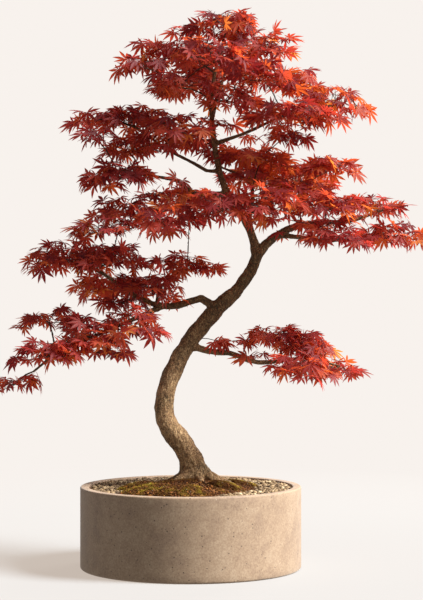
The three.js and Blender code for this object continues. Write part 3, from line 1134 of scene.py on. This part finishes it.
    def shoot_pattern(self, number: int) -> bpy.types.Mesh:
        """Shape one moss shoot: a tuft of three slim leaning leaves of unit height.

        Args:
            number: Which of the shapes, each with its own lean.

        Returns:
            The shoot.
        """
        rng = random.Random(number)
        bm = bmesh.new()
        for i in range(3):
            lean = Matrix.Rotation(math.tau * i / 3 + rng.uniform(-0.4, 0.4), 4, "Z")
            lean = lean @ Matrix.Rotation(rng.uniform(0.2, 0.65), 4, "X") @ Matrix.Translation((0, 0, 0.5))
            length = rng.uniform(0.8, 1.1)
            bmesh.ops.create_cone(
                bm, cap_ends=True, segments=3, radius1=0.17, radius2=0.02, depth=length, matrix=lean
            )
        return pattern_mesh(f"shoot_{number}", bm)

    def shoot_at(self, point: Vector, normal: Vector) -> Matrix:
        """Stand a shoot on a surface.

        Args:
            point: Where it stands.
            normal: The surface's normal there.

        Returns:
            The shoot's matrix.
        """
        lean = (normal + Vector([self.rng.gauss(0, 0.25) for _ in range(3)])).normalized()
        turn = UP.rotation_difference(lean).to_matrix().to_4x4()
        size = self.shoot_length * self.rng.uniform(0.6, 1.15)
        spin = Matrix.Rotation(self.rng.uniform(0, math.tau), 4, "Z")
        return Matrix.Translation(point - normal * 0.3 * MM) @ turn @ spin @ Matrix.Scale(size, 4)

    def cushion_height(self, vert: bmesh.types.BMVert) -> float:
        """Give the height of the lumps on a moss cushion, small ones on large ones.

        Args:
            vert: A vertex of the cushion's bed.

        Returns:
            How far it rises.
        """
        lumps = noise.noise(vert.co / (7 * MM)) * 1.3
        return (lumps + noise.noise(vert.co / (2.6 * MM)) * 0.7) * MM

    def build_moss(self) -> None:
        """Build each cushion as a lumpy bed thick with shoots."""
        patterns = [self.shoot_pattern(i) for i in range(6)]
        material = MOSS_SHOOTS.make()
        for name in self.moss_nodes:
            bed = remeshed(cad_bmesh(name), self.cushion_voxel)
            displaced(bed, self.cushion_height)
            tone_layer = bed.verts.layers.float.new("tone")
            for vert in bed.verts:
                vert[tone_layer] = 0.5 + 0.35 * noise.noise(vert.co / (14 * MM))
            pile = Pile(bed)
            surface = BVHTree.FromBMesh(bed)
            low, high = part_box(name)
            missed = 0
            while pile.count + missed < self.cushion_shoots:
                x, y = self.rng.uniform(low.x, high.x), self.rng.uniform(low.y, high.y)
                point, normal, _, _ = surface.ray_cast(Vector((x, y, self.top + self.look_from)), -UP)
                found = self.under(x, y)
                if point is None or found is None or found[0] != name:
                    if self.rng.random() < 0.3:
                        missed += 1
                    continue
                tone = 0.62 + 0.8 * noise.noise(point / (17 * MM)) + self.rng.gauss(0, 0.1)
                pile.add(self.rng.choice(patterns), self.shoot_at(point, normal), min(1.0, max(0.0, tone)))
            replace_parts(finished("cushion_" + name, pile.bm, material), name)

    def build_stray_moss(self) -> None:
        """Scatter brown and green shoots over the mound between the cushions."""
        patterns = [self.shoot_pattern(30 + i) for i in range(6)]
        pile = Pile()
        tries = 0
        while pile.count < self.stray_shoots and tries < self.stray_tries:
            tries += 1
            x, y = self.random_place()
            found = self.under(x, y)
            if found is None or found[0] not in ("soil", "gravel_bed"):
                continue
            if found[0] == "gravel_bed" and not self.overgrown(x, y):
                continue
            alive = noise.noise(found[1] / (26 * MM)) + 0.5 * noise.noise(found[1] / (8 * MM))
            if self.rng.random() > 0.72 + alive:
                continue
            tone = 0.3 + 0.55 * alive + self.rng.gauss(0, 0.12)
            pile.add(self.rng.choice(patterns), self.shoot_at(found[1], found[2]), min(1.0, max(0.0, tone)))
        finished("moss_between_cushions", pile.bm, MOSS_SHOOTS.make())

    def build(self) -> None:
        """Build everything inside the rim."""
        self.build_soil()
        self.build_gravel()
        self.build_crumbs()
        self.build_moss()
        self.build_stray_moss()


# ---------------------------------------------------------------- wood


@dataclass
class Wood:
    """The trunk, roots and branches, rebuilt from the CAD wood with knotted, furrowed bark."""

    node: str = "trunk_and_branches"
    voxel: float = 1.45 * MM
    smoothing: int = 3
    deepest_girth: float = 30 * MM
    full_bark_girth: float = 26 * MM
    thin_girth: float = 5 * MM
    bare_girths: tuple[float, float] = (3 * MM, 9 * MM)
    level_bias: float = 2.4
    hanging_cost: float = 6.0

    def girth(self, surface: BVHTree, vert: bmesh.types.BMVert) -> float:
        """Measure how thick the wood is under a vertex.

        Args:
            surface: The wood's surface.
            vert: A vertex of it.

        Returns:
            The distance through the wood, at most deepest_girth.
        """
        inward = -vert.normal
        point, _, _, distance = surface.ray_cast(vert.co + inward * 0.2 * MM, inward, self.deepest_girth)
        return self.deepest_girth if point is None else distance

    def bark_height(self, place: Vector, girth: float) -> float:
        """Give the bark's height above the CAD surface.

        Args:
            place: The point on the wood.
            girth: The wood's thickness there.

        Returns:
            The height, which is smaller on thin wood. Twigs get back what the smoothing took off them.
        """
        share = min(1.0, girth / self.full_bark_girth)
        along = Vector((place.x, place.y, place.z * 0.4))
        burls = noise.noise(place / (22 * MM)) * 2.3
        ridges = (ridged(along + Vector((7, 3, 1)), 9 * MM) - 0.6) * 1.5
        furrows = noise.noise(along / (3.6 * MM)) * 0.7
        filled = 0.9 * max(0.0, 1 - girth / self.thin_girth)
        return (share * (burls + ridges + furrows) + filled - 0.25) * MM

    def build(self) -> None:
        """Build the wood, and keep its surface for the twigs that grow from it."""
        bm = remeshed(cad_bmesh(self.node), self.voxel)
        for _ in range(self.smoothing):
            bmesh.ops.smooth_vert(
                bm, verts=bm.verts, factor=0.5, use_axis_x=True, use_axis_y=True, use_axis_z=True
            )
        bm.normal_update()
        surface = BVHTree.FromBMesh(bm)
        layer = bm.verts.layers.float.new("girth")
        for vert in bm.verts:
            vert[layer] = self.girth(surface, vert)
        displaced(bm, lambda v: self.bark_height(v.co, v[layer]))
        self.tree = KDTree(len(bm.verts))
        for vert in bm.verts:
            self.tree.insert(self.level_biased(vert.co), vert.index)
        self.tree.balance()
        self.places = [v.co.copy() for v in bm.verts]
        self.shoots: list[Vector] = []
        thinnest, thickest = self.bare_girths
        self.thin_places = [v.co.copy() for v in bm.verts if thinnest < v[layer] < thickest]
        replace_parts(finished("wood_bark", bm, Bark().make()), self.node)

    def level_biased(self, place: Vector) -> Vector:
        """Stretch heights, so that a search prefers wood that is level with a place."""
        return Vector((place.x, place.y, place.z * self.level_bias))

    def nearest(self, place: Vector) -> Vector:
        """Find the wood, or a fine twig that has already grown, from which a new twig would grow to a place.

        Args:
            place: Where the new twig has to reach.

        Returns:
            Where it starts.
        """
        target = self.level_biased(place)
        _, index, _ = self.tree.find(target)
        starts = [self.places[index], *self.shoots]

        def cost(start: Vector) -> float:
            """Rate a start by its distance, and by how far the twig would have to hang down from it.

            Args:
                start: A place on the wood or on a twig.

            Returns:
                The cost, in metres.
            """
            hanging = max(0.0, start.z - place.z)
            return (self.level_biased(start) - target).length + self.hanging_cost * hanging

        return min(starts, key=cost)


# ---------------------------------------------------------------- leaves and twigs


TILES = 4  # the leaves' bake map is a square of TILES x TILES tones, each holding a whole leaf
TONES = TILES * TILES


class Droop(Enum):
    """How far a blade hangs from its stalk, in radians."""

    LEVEL = 0.2
    HANGING = 0.6
    STEEP = 1.0


@dataclass(frozen=True)
class LeafShape:
    """A palmate leaf with seven pointed lobes.

    Its middle lobe is 1 long, and its stalk starts at the origin and runs along +Y. Each lobe in the list has
    its turn from the middle, in degrees, and its length.
    """

    droop: Droop
    number: int
    lobes: tuple[tuple[float, float], ...] = (
        (0, 1.0),
        (34, 0.95),
        (-34, 0.95),
        (69, 0.82),
        (-69, 0.82),
        (108, 0.56),
        (-108, 0.56),
    )
    half_width: float = 0.115
    stalk: float = 0.55
    stalk_radius: float = 0.022

    def width_at(self, along: float) -> float:
        """Give a lobe's half-width: narrow where lobes join, widest before its middle, then a long point.

        Args:
            along: The place along the lobe, from 0 to 1.

        Returns:
            The half-width there.
        """
        joined = 0.3 * along
        blade = self.half_width * math.sin(math.pi * min(1.0, max(0.0, along)) ** 0.82)
        return min(joined, blade)

    def add_lobe(
        self, bm: bmesh.types.BMesh, maps: tuple, angle: float, length: float, rng: random.Random
    ) -> None:
        """Add one lobe, folded along its rib and curled down at its tip.

        Args:
            bm: The leaf.
            maps: The leaf's lobe map and bake map.
            angle: The lobe's turn from the middle, in degrees.
            length: Its length.
            rng: The leaf's own random numbers.
        """
        made = bmesh.ops.create_grid(bm, x_segments=4, y_segments=2, size=0.5)["verts"]
        fold = rng.uniform(0.15, 0.5)
        curl = rng.uniform(-0.04, 0.22)
        bend = rng.gauss(0, 0.06)
        turn = math.radians(angle + rng.gauss(0, 4))
        lobe_place = {}
        for vert in made:
            along, across = (vert.co.x + 0.5) ** 0.88, vert.co.y * 2
            lobe_place[vert] = (along, across * 0.5 + 0.5)
            width = self.width_at(along)
            side = across * width + bend * along * along
            rise = fold * abs(across) * width - curl * along * along
            vert.co = Vector((side, along, rise)) * length
        bmesh.ops.rotate(bm, verts=made, cent=(0, 0, 0), matrix=Matrix.Rotation(-turn, 3, "Z"))
        lobe_map, bake_map = maps
        for face in {f for v in made for f in v.link_faces}:
            for loop in face.loops:
                loop[lobe_map].uv = lobe_place[loop.vert]
                loop[bake_map].uv = (0.5 + loop.vert.co.x * 0.45, 0.36 + loop.vert.co.y * 0.45)

    def add_stalk(self, bm: bmesh.types.BMesh, maps: tuple) -> None:
        """Add the stalk, which runs from the origin to the blade.

        Args:
            bm: The leaf.
            maps: The leaf's lobe map and bake map.
        """
        turn = Matrix.Rotation(-math.pi / 2, 4, "X")
        lift = Matrix.Translation((0, self.stalk / 2, 0))
        made = bmesh.ops.create_cone(
            bm,
            cap_ends=True,
            segments=3,
            radius1=self.stalk_radius,
            radius2=self.stalk_radius,
            depth=self.stalk,
            matrix=lift @ turn,
        )["verts"]
        lobe_map, bake_map = maps
        for face in {f for v in made for f in v.link_faces}:
            for loop in face.loops:
                loop[lobe_map].uv = (-0.5, 0.5)
                loop[bake_map].uv = (0.03 + loop.vert.co.x * 0.5, 0.03 + loop.vert.co.y * 0.05)

    def pattern(self) -> bpy.types.Mesh:
        """Build the leaf.

        Returns:
            A mesh with its lobe map and its bake map in one tile.
        """
        rng = random.Random(self.number)
        bm = bmesh.new()
        maps = (bm.loops.layers.uv.new("Lobe"), bm.loops.layers.uv.new("OFBake"))
        for angle, length in self.lobes:
            self.add_lobe(bm, maps, angle, length * rng.uniform(0.93, 1.05), rng)
        blade = list(bm.verts)
        bmesh.ops.remove_doubles(bm, verts=blade, dist=1e-4)
        hang = Matrix.Rotation(-self.droop.value + rng.gauss(0, 0.1), 4, "X")
        bmesh.ops.transform(bm, verts=bm.verts, matrix=Matrix.Translation((0, self.stalk, 0)) @ hang)
        self.add_stalk(bm, maps)
        return pattern_mesh(f"leaf_{self.number}", bm)


class Leaves(Pile):
    """A pile of leaves whose bake map puts each leaf in the tile of its tone."""

    def add_leaf(self, pattern: bpy.types.Mesh, place: Matrix, tone: float) -> None:
        """Add one leaf.

        Args:
            pattern: One of the leaf shapes.
            place: Where its stalk starts.
            tone: Its tone, from 0, burgundy, to 1, orange, which holds painted light as well as the leaf's
                own colour.
        """
        tile = min(TONES - 1, max(0, int(tone * TONES)))
        tiled = pattern.copy()
        corner = Vector((tile % TILES, tile // TILES))
        for loop in tiled.uv_layers["OFBake"].data:
            loop.uv = (loop.uv + corner) / TILES
        self.add(tiled, place, (tile + 0.5) / TONES)
        bpy.data.meshes.remove(tiled)


@dataclass
class Shoot:
    """A point on a fine twig: where it is, what it grew from, and how much grows on from it."""

    place: Vector
    parent: int | None
    reach: float
    load: int = 0


@dataclass
class LeafCloud:
    """One layer of foliage: fine twigs that spread from the wood through the CAD cloud, and their leaves."""

    node: str
    patterns: dict[Droop, list[bpy.types.Mesh]]
    wood: Wood
    seed: int
    bud_area: float = 345e-6
    spacing: float = 13 * MM
    inset: float = 0.85
    gap_size: float = 24 * MM
    gap_share: float = -0.22
    lift: float = 4 * MM
    leaf_size: tuple[float, float] = (17 * MM, 28.5 * MM)
    tries: int = 5000
    patch_size: float = 75 * MM

    def __post_init__(self) -> None:
        """Read the cloud's shape from the frame."""
        self.rng = random.Random(self.seed)
        self.surface = cad_surface(self.node)
        self.low, self.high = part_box(self.node)
        self.centre = (self.low + self.high) / 2
        self.half = (self.high - self.low) / 2

    def span_at(self, x: float, y: float) -> tuple[float, float] | None:
        """Give the cloud's lowest and highest point over a place, or None outside it.

        Args:
            x: Across.
            y: Front to back.

        Returns:
            The two heights, or None.
        """
        top, _, _, _ = self.surface.ray_cast(Vector((x, y, self.high.z + 1)), -UP)
        bottom, _, _, _ = self.surface.ray_cast(Vector((x, y, self.low.z - 1)), UP)
        return None if top is None or bottom is None else (bottom.z, top.z)

    def buds(self) -> list[Vector]:
        """Spread buds through the cloud, more of them near its top.

        Returns:
            The places of the buds.
        """
        wanted = int(math.pi * self.half.x * self.half.y / self.bud_area)
        found: list[Vector] = []
        for _ in range(self.tries):
            if len(found) >= wanted:
                break
            x, y = self.rng.uniform(self.low.x, self.high.x), self.rng.uniform(self.low.y, self.high.y)
            span = self.span_at(x, y)
            if span is None:
                continue
            bottom, top = span
            place = Vector((x, y, bottom + (top - bottom) * self.rng.betavariate(1.9, 1.1)))
            if noise.noise(place / self.gap_size) < self.gap_share:
                continue
            place = self.centre + (place - self.centre) * self.inset + UP * self.lift
            if all((place - other).length > self.spacing for other in found):
                found.append(place)
        return found

    def grow(self) -> list[Shoot]:
        """Join the buds into branching twigs, each bud to the nearest that is already joined.

        Returns:
            The shoots, with the start on the wood as the first.
        """
        root_place = self.wood.nearest(self.centre)
        shoots = [Shoot(root_place, None, 0.0)]
        for bud in sorted(self.buds(), key=lambda b: (b - root_place).length):
            costs = [(s.place - bud).length + 0.35 * s.reach for s in shoots]
            parent = costs.index(min(costs))
            reach = shoots[parent].reach + (shoots[parent].place - bud).length
            shoots.append(Shoot(bud, parent, reach))
        for shoot in reversed(shoots[1:]):
            shoots[shoot.parent].load += shoot.load + 1
        self.wood.shoots += [shoot.place for shoot in shoots]
        return shoots

    def add_twigs(self, bm: bmesh.types.BMesh, shoots: list[Shoot]) -> None:
        """Add a tapered twig from each bud's parent to the bud.

        Args:
            bm: The mesh of all fine twigs.
            shoots: The cloud's shoots.
        """
        for shoot in shoots[1:]:
            start = shoots[shoot.parent].place
            run = shoot.place - start
            bent = Vector([self.rng.gauss(0, 0.07) * run.length for _ in range(3)])
            middle = (start + shoot.place) / 2 + bent
            thick, thin = twig_radius(shoot.load + 1), twig_radius(shoot.load)
            add_twig(bm, start, middle, thick, (thick + thin) / 2)
            add_twig(bm, middle, shoot.place, (thick + thin) / 2, thin)

    def tone_and_painted_light_at(self, place: Vector, low: float) -> float:
        """Give a leaf's tone, with painted light in it: burgundy to the left and on top, and more orange to
        the right, painted light from the key lamp on that side, and low down, painted glow of light through
        the hanging leaves. A noise patch and a random spread are the leaves' own tone.

        Args:
            place: Where the leaf's bud is.
            low: How low it sits in its cloud, from 0 to 1.

        Returns:
            The tone, before it is kept to its range.
        """
        across = place.x / (CAD_BOX[1].x - CAD_BOX[0].x)
        patch = 0.25 * noise.noise(place / self.patch_size)
        # Painted light: the across term makes the lit right side more orange, and the low term paints a glow
        # on low leaves.
        return 0.24 + 0.1 * across + 0.26 * low + patch + self.rng.gauss(0, 0.17)

    def add_leaves(self, leaves: Leaves, shoots: list[Shoot]) -> None:
        """Put a pair of leaves at each bud, and one more at the end of each twig.

        Args:
            leaves: The pile that they join.
            shoots: The cloud's shoots.
        """
        hub = shoots[0].place
        for shoot in shoots[1:]:
            outward = (shoot.place - hub) * FLAT
            along = (shoot.place - shoots[shoot.parent].place) * FLAT
            heading = outward.normalized() + along.normalized() * 0.7
            turns = [self.rng.uniform(0.7, 1.35), -self.rng.uniform(0.7, 1.35)]
            if shoot.load == 0:
                turns.append(self.rng.gauss(0, 0.2))
            for turn in turns:
                low = (self.high.z - shoot.place.z) / (self.high.z - self.low.z)
                self.add_leaf(leaves, shoot.place, Matrix.Rotation(turn, 3, "Z") @ heading, low)

    def add_leaf(self, leaves: Leaves, place: Vector, heading: Vector, low: float = 0.5) -> None:
        """Add one leaf that hangs outward from a bud.

        Args:
            leaves: The pile that it joins.
            place: The bud.
            heading: Its level direction.
            low: How low it sits in its cloud, from 0 at the top to 1.
        """
        droop = self.rng.choices(list(Droop), (3, 4, 3))[0]
        direction = heading.normalized() + UP * self.rng.uniform(-0.25, 0.35)
        size = self.rng.uniform(*self.leaf_size)
        turn = turned_to(direction, UP, self.rng.gauss(0, 0.5))
        matrix = Matrix.Translation(place) @ turn @ Matrix.Scale(size, 4)
        leaves.add_leaf(self.rng.choice(self.patterns[droop]), matrix, self.tone_and_painted_light_at(place, low))

    def fill(self, leaves: Leaves, twigs: bmesh.types.BMesh) -> None:
        """Grow the cloud's twigs and hang its leaves on them.

        Args:
            leaves: The pile of leaves.
            twigs: The mesh of all fine twigs.
        """
        shoots = self.grow()
        self.add_twigs(twigs, shoots)
        self.add_leaves(leaves, shoots)

    def build(self, twigs: bmesh.types.BMesh, material: bpy.types.Material) -> int:
        """Build the cloud's leaves, and add its twigs to the rest.

        Args:
            twigs: The mesh of all fine twigs.
            material: The leaves' material.

        Returns:
            How many leaves it has.
        """
        leaves = Leaves()
        self.fill(leaves, twigs)
        count = leaves.count
        piece = finished("leaves_" + self.node.removeprefix("foliage_"), leaves.bm, material)
        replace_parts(piece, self.node)
        return count


@dataclass
class Spray(LeafCloud):
    """A small, thin spray of leaves beside a cloud, or below it."""

    offset: tuple[float, float, float] = (0, 0, 0)
    reach: tuple[float, float, float] = (22 * MM, 18 * MM, 6 * MM)
    bud_area: float = 330e-6
    gap_share: float = -1.0
    lift: float = 0.0

    def __post_init__(self) -> None:
        """Place the spray against its neighbour's box."""
        self.rng = random.Random(self.seed)
        low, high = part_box(self.node)
        self.centre = (low + high) / 2 + Vector(self.offset)
        self.half = Vector(self.reach)
        self.low, self.high = self.centre - self.half, self.centre + self.half

    def span_at(self, x: float, y: float) -> tuple[float, float] | None:
        """Give the spray's lowest and highest point over a place, or None outside it.

        Args:
            x: Across.
            y: Front to back.

        Returns:
            The two heights, or None.
        """
        away = math.hypot((x - self.centre.x) / self.half.x, (y - self.centre.y) / self.half.y)
        if away >= 1:
            return None
        rise = self.half.z * math.sqrt(1 - away * away)
        return self.centre.z - rise, self.centre.z + rise


# Neighbour, offset from its middle, and half-sizes of each spray, in mm.
SPRAYS = (
    ("foliage_crown_upper_left", (-36, -4, 14), (20, 18, 6)),
    ("foliage_crown_upper_left", (27, -4, 35), (26, 20, 6)),
    ("foliage_crown_centre", (-30, 6, -52), (26, 24, 14)),
    ("foliage_crown_centre", (-4, 26, -94), (38, 26, 14)),
    ("foliage_crown_centre", (-52, 20, -76), (36, 26, 14)),
    ("foliage_upper_left_inner", (-22, 4, -28), (20, 18, 6)),
    ("foliage_mid_left_inner", (52, 6, 26), (34, 20, 5)),
    ("foliage_lowest_left_outer", (26, 0, -30), (34, 24, 6)),
    ("foliage_crown_lower_right", (6, 4, -34), (34, 24, 7)),
    ("foliage_right_mid", (-2, 6, -30), (40, 26, 8)),
    ("foliage_right_front", (8, 10, -28), (30, 22, 6)),
    ("foliage_low_left_inner", (-48, -20, -20), (32, 26, 7)),
    ("foliage_low_right_upper", (-102, -14, -8), (22, 16, 4)),
    ("foliage_low_right_upper", (-62, -14, -8), (17, 14, 4)),
    ("foliage_low_right_upper", (-40, -8, -34), (20, 16, 5)),
)


def twig_radius(load: int) -> float:
    """Give a twig's radius from how many buds it carries.

    Args:
        load: How many buds it carries.

    Returns:
        The radius.
    """
    return min(1.5, 0.42 + 0.17 * math.sqrt(load)) * MM


def add_twig(bm: bmesh.types.BMesh, start: Vector, end: Vector, thick: float, thin: float) -> None:
    """Add one tapered stretch of twig.

    Args:
        bm: The mesh of twigs.
        start: Its lower end.
        end: Its upper end.
        thick: Its radius at the start.
        thin: Its radius at the end.
    """
    run = end - start
    turn = UP.rotation_difference(run).to_matrix().to_4x4()
    matrix = Matrix.Translation((start + end) / 2) @ turn
    bmesh.ops.create_cone(
        bm, cap_ends=True, segments=5, radius1=thick, radius2=thin, depth=run.length + thin, matrix=matrix
    )


@dataclass
class Foliage:
    """All the leaf clouds, their fine twigs, and a few leafy shoots on the bare stretches of thin wood."""

    wood: Wood
    shapes_each: int = 5
    side_shoots: int = 40
    side_height: float = 0.33

    def build(self) -> None:
        """Build every cloud and the shoots between them."""
        patterns = {
            droop: [LeafShape(droop, 10 * i + n).pattern() for n in range(self.shapes_each)]
            for i, droop in enumerate(Droop)
        }
        material = LeafSkin().make()
        twigs = bmesh.new()
        nodes = [n for n in sorted(frame["nodes"]) if n.startswith("foliage_")]
        clouds = [LeafCloud(n, patterns, self.wood, 100 + i) for i, n in enumerate(nodes)]
        clouds.sort(key=lambda cloud: (self.wood.nearest(cloud.centre) - cloud.centre).length)
        total = sum(cloud.build(twigs, material) for cloud in clouds)
        total += self.build_sprays(patterns, twigs, material)
        total += self.build_side_shoots(twigs, clouds[0], material)
        finished("fine_twigs", twigs, TwigSkin().make())
        log.info("the tree has %d leaves in %d clouds", total, len(clouds))

    def build_sprays(self, patterns: dict, twigs: bmesh.types.BMesh, material: bpy.types.Material) -> int:
        """Grow the small sprays as one piece.

        Args:
            patterns: The leaf shapes by their droop.
            twigs: The mesh of all fine twigs.
            material: The leaves' material.

        Returns:
            How many leaves they have.
        """
        leaves = Leaves()
        for i, (node, offset, half) in enumerate(SPRAYS):
            sizes = {"offset": [c * MM for c in offset], "reach": [c * MM for c in half]}
            Spray(node, patterns, self.wood, 300 + i, **sizes).fill(leaves, twigs)
        count = leaves.count
        finished("leaves_sprays", leaves.bm, material)
        return count

    def build_side_shoots(
        self, twigs: bmesh.types.BMesh, helper: LeafCloud, material: bpy.types.Material
    ) -> int:
        """Grow short leafy shoots out of thin bare wood.

        Args:
            twigs: The mesh of all fine twigs.
            helper: A cloud whose way of hanging leaves is used.
            material: The leaves' material.

        Returns:
            How many leaves they have.
        """
        rng = random.Random(5)
        leaves = Leaves()
        starts = [p for p in self.wood.thin_places if p.z > self.side_height]
        for start in rng.sample(starts, min(self.side_shoots, len(starts))):
            turn = rng.uniform(0, math.tau)
            run = Vector((math.cos(turn), math.sin(turn), rng.uniform(-0.2, 0.7))).normalized()
            end = start + run * rng.uniform(9, 24) * MM
            add_twig(twigs, start, end, twig_radius(3), twig_radius(0))
            for spin in (-0.9, 0.9, 0.0):
                helper.add_leaf(leaves, end, Matrix.Rotation(spin, 3, "Z") @ Vector((run.x, run.y, 0)))
        count = leaves.count
        finished("leaves_side_shoots", leaves.bm, material)
        return count


# ---------------------------------------------------------------- studio


@dataclass
class Studio:
    """The pale floor, the soft light and the camera."""

    paper: str = "F8F2ED"
    floor_radius: float = 14.0
    fade: tuple[float, float] = (0.75, 1.7)
    camera_place: tuple[float, float, float] = (0.0338, -2.908, 0.4358)
    lens_mm: float = 106.9
    floor_tint: str = "E5F3FF"
    floor_glow_colour: str = "F8E7D8"
    floor_glow: float = 0.57
    floor_reflects: float = 0.191
    sky_light: float = 0.33
    sun_power: float = 9.8
    sun_softness: float = 22.0
    sun_round: float = 76.0
    sun_height: float = 42.0
    sun_colour: str = "FFFDF9"
    edge_place: tuple[float, float, float] = (1.2, 2.0, 1.3)
    edge_size: float = 0.9
    edge_watts: float = 30.0
    edge_colour: str = "FFEBD8"
    middle: tuple[float, float, float] = (0, 0, 0.45)

    def build_floor(self) -> None:
        """Lay a round floor that melts into the backdrop away from the pot."""
        bm = bmesh.new()
        bmesh.ops.create_circle(bm, cap_ends=True, segments=96, radius=self.floor_radius)
        mesh = bpy.data.meshes.new("floor")
        bm.to_mesh(mesh)
        bm.free()
        floor = bpy.data.objects.new("floor", mesh)
        bpy.context.scene.collection.objects.link(floor)
        material = bpy.data.materials.new("paper_floor")
        material.use_nodes = True
        material.node_tree.nodes.clear()
        place = add_node(material, "ShaderNodeTexCoord").outputs["Object"]
        away = add_node(material, "ShaderNodeVectorMath", {0: place}, operation="LENGTH").outputs["Value"]
        share = spread(material, away, *self.fade)
        tint = [c * self.floor_reflects for c in linear(self.floor_tint)[:3]] + [1]
        shaded = add_node(material, "ShaderNodeBsdfDiffuse", {"Color": tint})
        glow_inputs = {"Color": linear(self.floor_glow_colour), "Strength": self.floor_glow}
        glow = add_node(material, "ShaderNodeEmission", glow_inputs)
        near = add_node(
            material, "ShaderNodeAddShader", {0: shaded.outputs["BSDF"], 1: glow.outputs["Emission"]}
        )
        far = add_node(material, "ShaderNodeEmission", {"Color": linear(self.paper), "Strength": 1.0})
        both = add_node(
            material,
            "ShaderNodeMixShader",
            {"Fac": share, 1: near.outputs["Shader"], 2: far.outputs["Emission"]},
        )
        add_node(material, "ShaderNodeOutputMaterial", {"Surface": both.outputs["Shader"]})
        mesh.materials.append(material)
        floor.visible_diffuse = False

    def build_sky(self) -> None:
        """Show the backdrop's colour behind the object, and light the room softly and more dimly with it."""
        world = bpy.data.worlds.new("studio")
        bpy.context.scene.world = world
        world.use_nodes = True
        tree = world.node_tree
        background = tree.nodes["Background"]
        background.inputs["Color"].default_value = linear(self.paper)
        path = tree.nodes.new("ShaderNodeLightPath")
        strength = tree.nodes.new("ShaderNodeMapRange")
        strength.inputs["To Min"].default_value = self.sky_light
        strength.inputs["To Max"].default_value = 1.0
        tree.links.new(path.outputs["Is Camera Ray"], strength.inputs["Value"])
        tree.links.new(strength.outputs["Result"], background.inputs["Strength"])

    def build_sun(self) -> None:
        """Hang the strong, soft key light to the right of the camera."""
        data = bpy.data.lights.new("key", "SUN")
        data.energy = self.sun_power
        data.angle = math.radians(self.sun_softness)
        data.color = linear(self.sun_colour)[:3]
        sun = bpy.data.objects.new("key", data)
        bpy.context.scene.collection.objects.link(sun)
        turn, rise = math.radians(self.sun_round), math.radians(self.sun_height)
        towards = Vector((math.sin(turn) * math.cos(rise), -math.cos(turn) * math.cos(rise), math.sin(rise)))
        sun.rotation_euler = towards.to_track_quat("Z", "Y").to_euler()

    def build_edge_light(self) -> None:
        """Hang the soft warm square lamp behind the tree, which lights the edges of the leaves."""
        data = bpy.data.lights.new("edge", "AREA")
        data.size = self.edge_size
        data.energy = self.edge_watts
        data.color = linear(self.edge_colour)[:3]
        lamp = bpy.data.objects.new("edge", data)
        bpy.context.scene.collection.objects.link(lamp)
        lamp.location = self.edge_place
        facing = Vector(self.middle) - Vector(self.edge_place)
        lamp.rotation_euler = facing.to_track_quat("-Z", "Y").to_euler()

    def build_camera(self) -> None:
        """Stand the camera level with the middle of the tree, some way off in front."""
        data = bpy.data.cameras.new("camera")
        data.lens = self.lens_mm
        camera = bpy.data.objects.new("camera", data)
        bpy.context.scene.collection.objects.link(camera)
        camera.location = self.camera_place
        camera.rotation_euler = (math.pi / 2, 0, 0)
        bpy.context.scene.camera = camera

    def build(self) -> None:
        """Set up the whole studio."""
        bpy.context.scene.view_settings.view_transform = "Standard"
        self.build_floor()
        self.build_sky()
        self.build_sun()
        self.build_edge_light()
        self.build_camera()


def main() -> None:
    """Build the object's pieces in order, then the studio."""
    logging.basicConfig(level=logging.INFO, format="%(name)s: %(message)s")
    Pot().build()
    Ground().build()
    wood = Wood()
    wood.build()
    Foliage(wood).build()
    Studio().build()


if __name__ == "__main__":
    main()
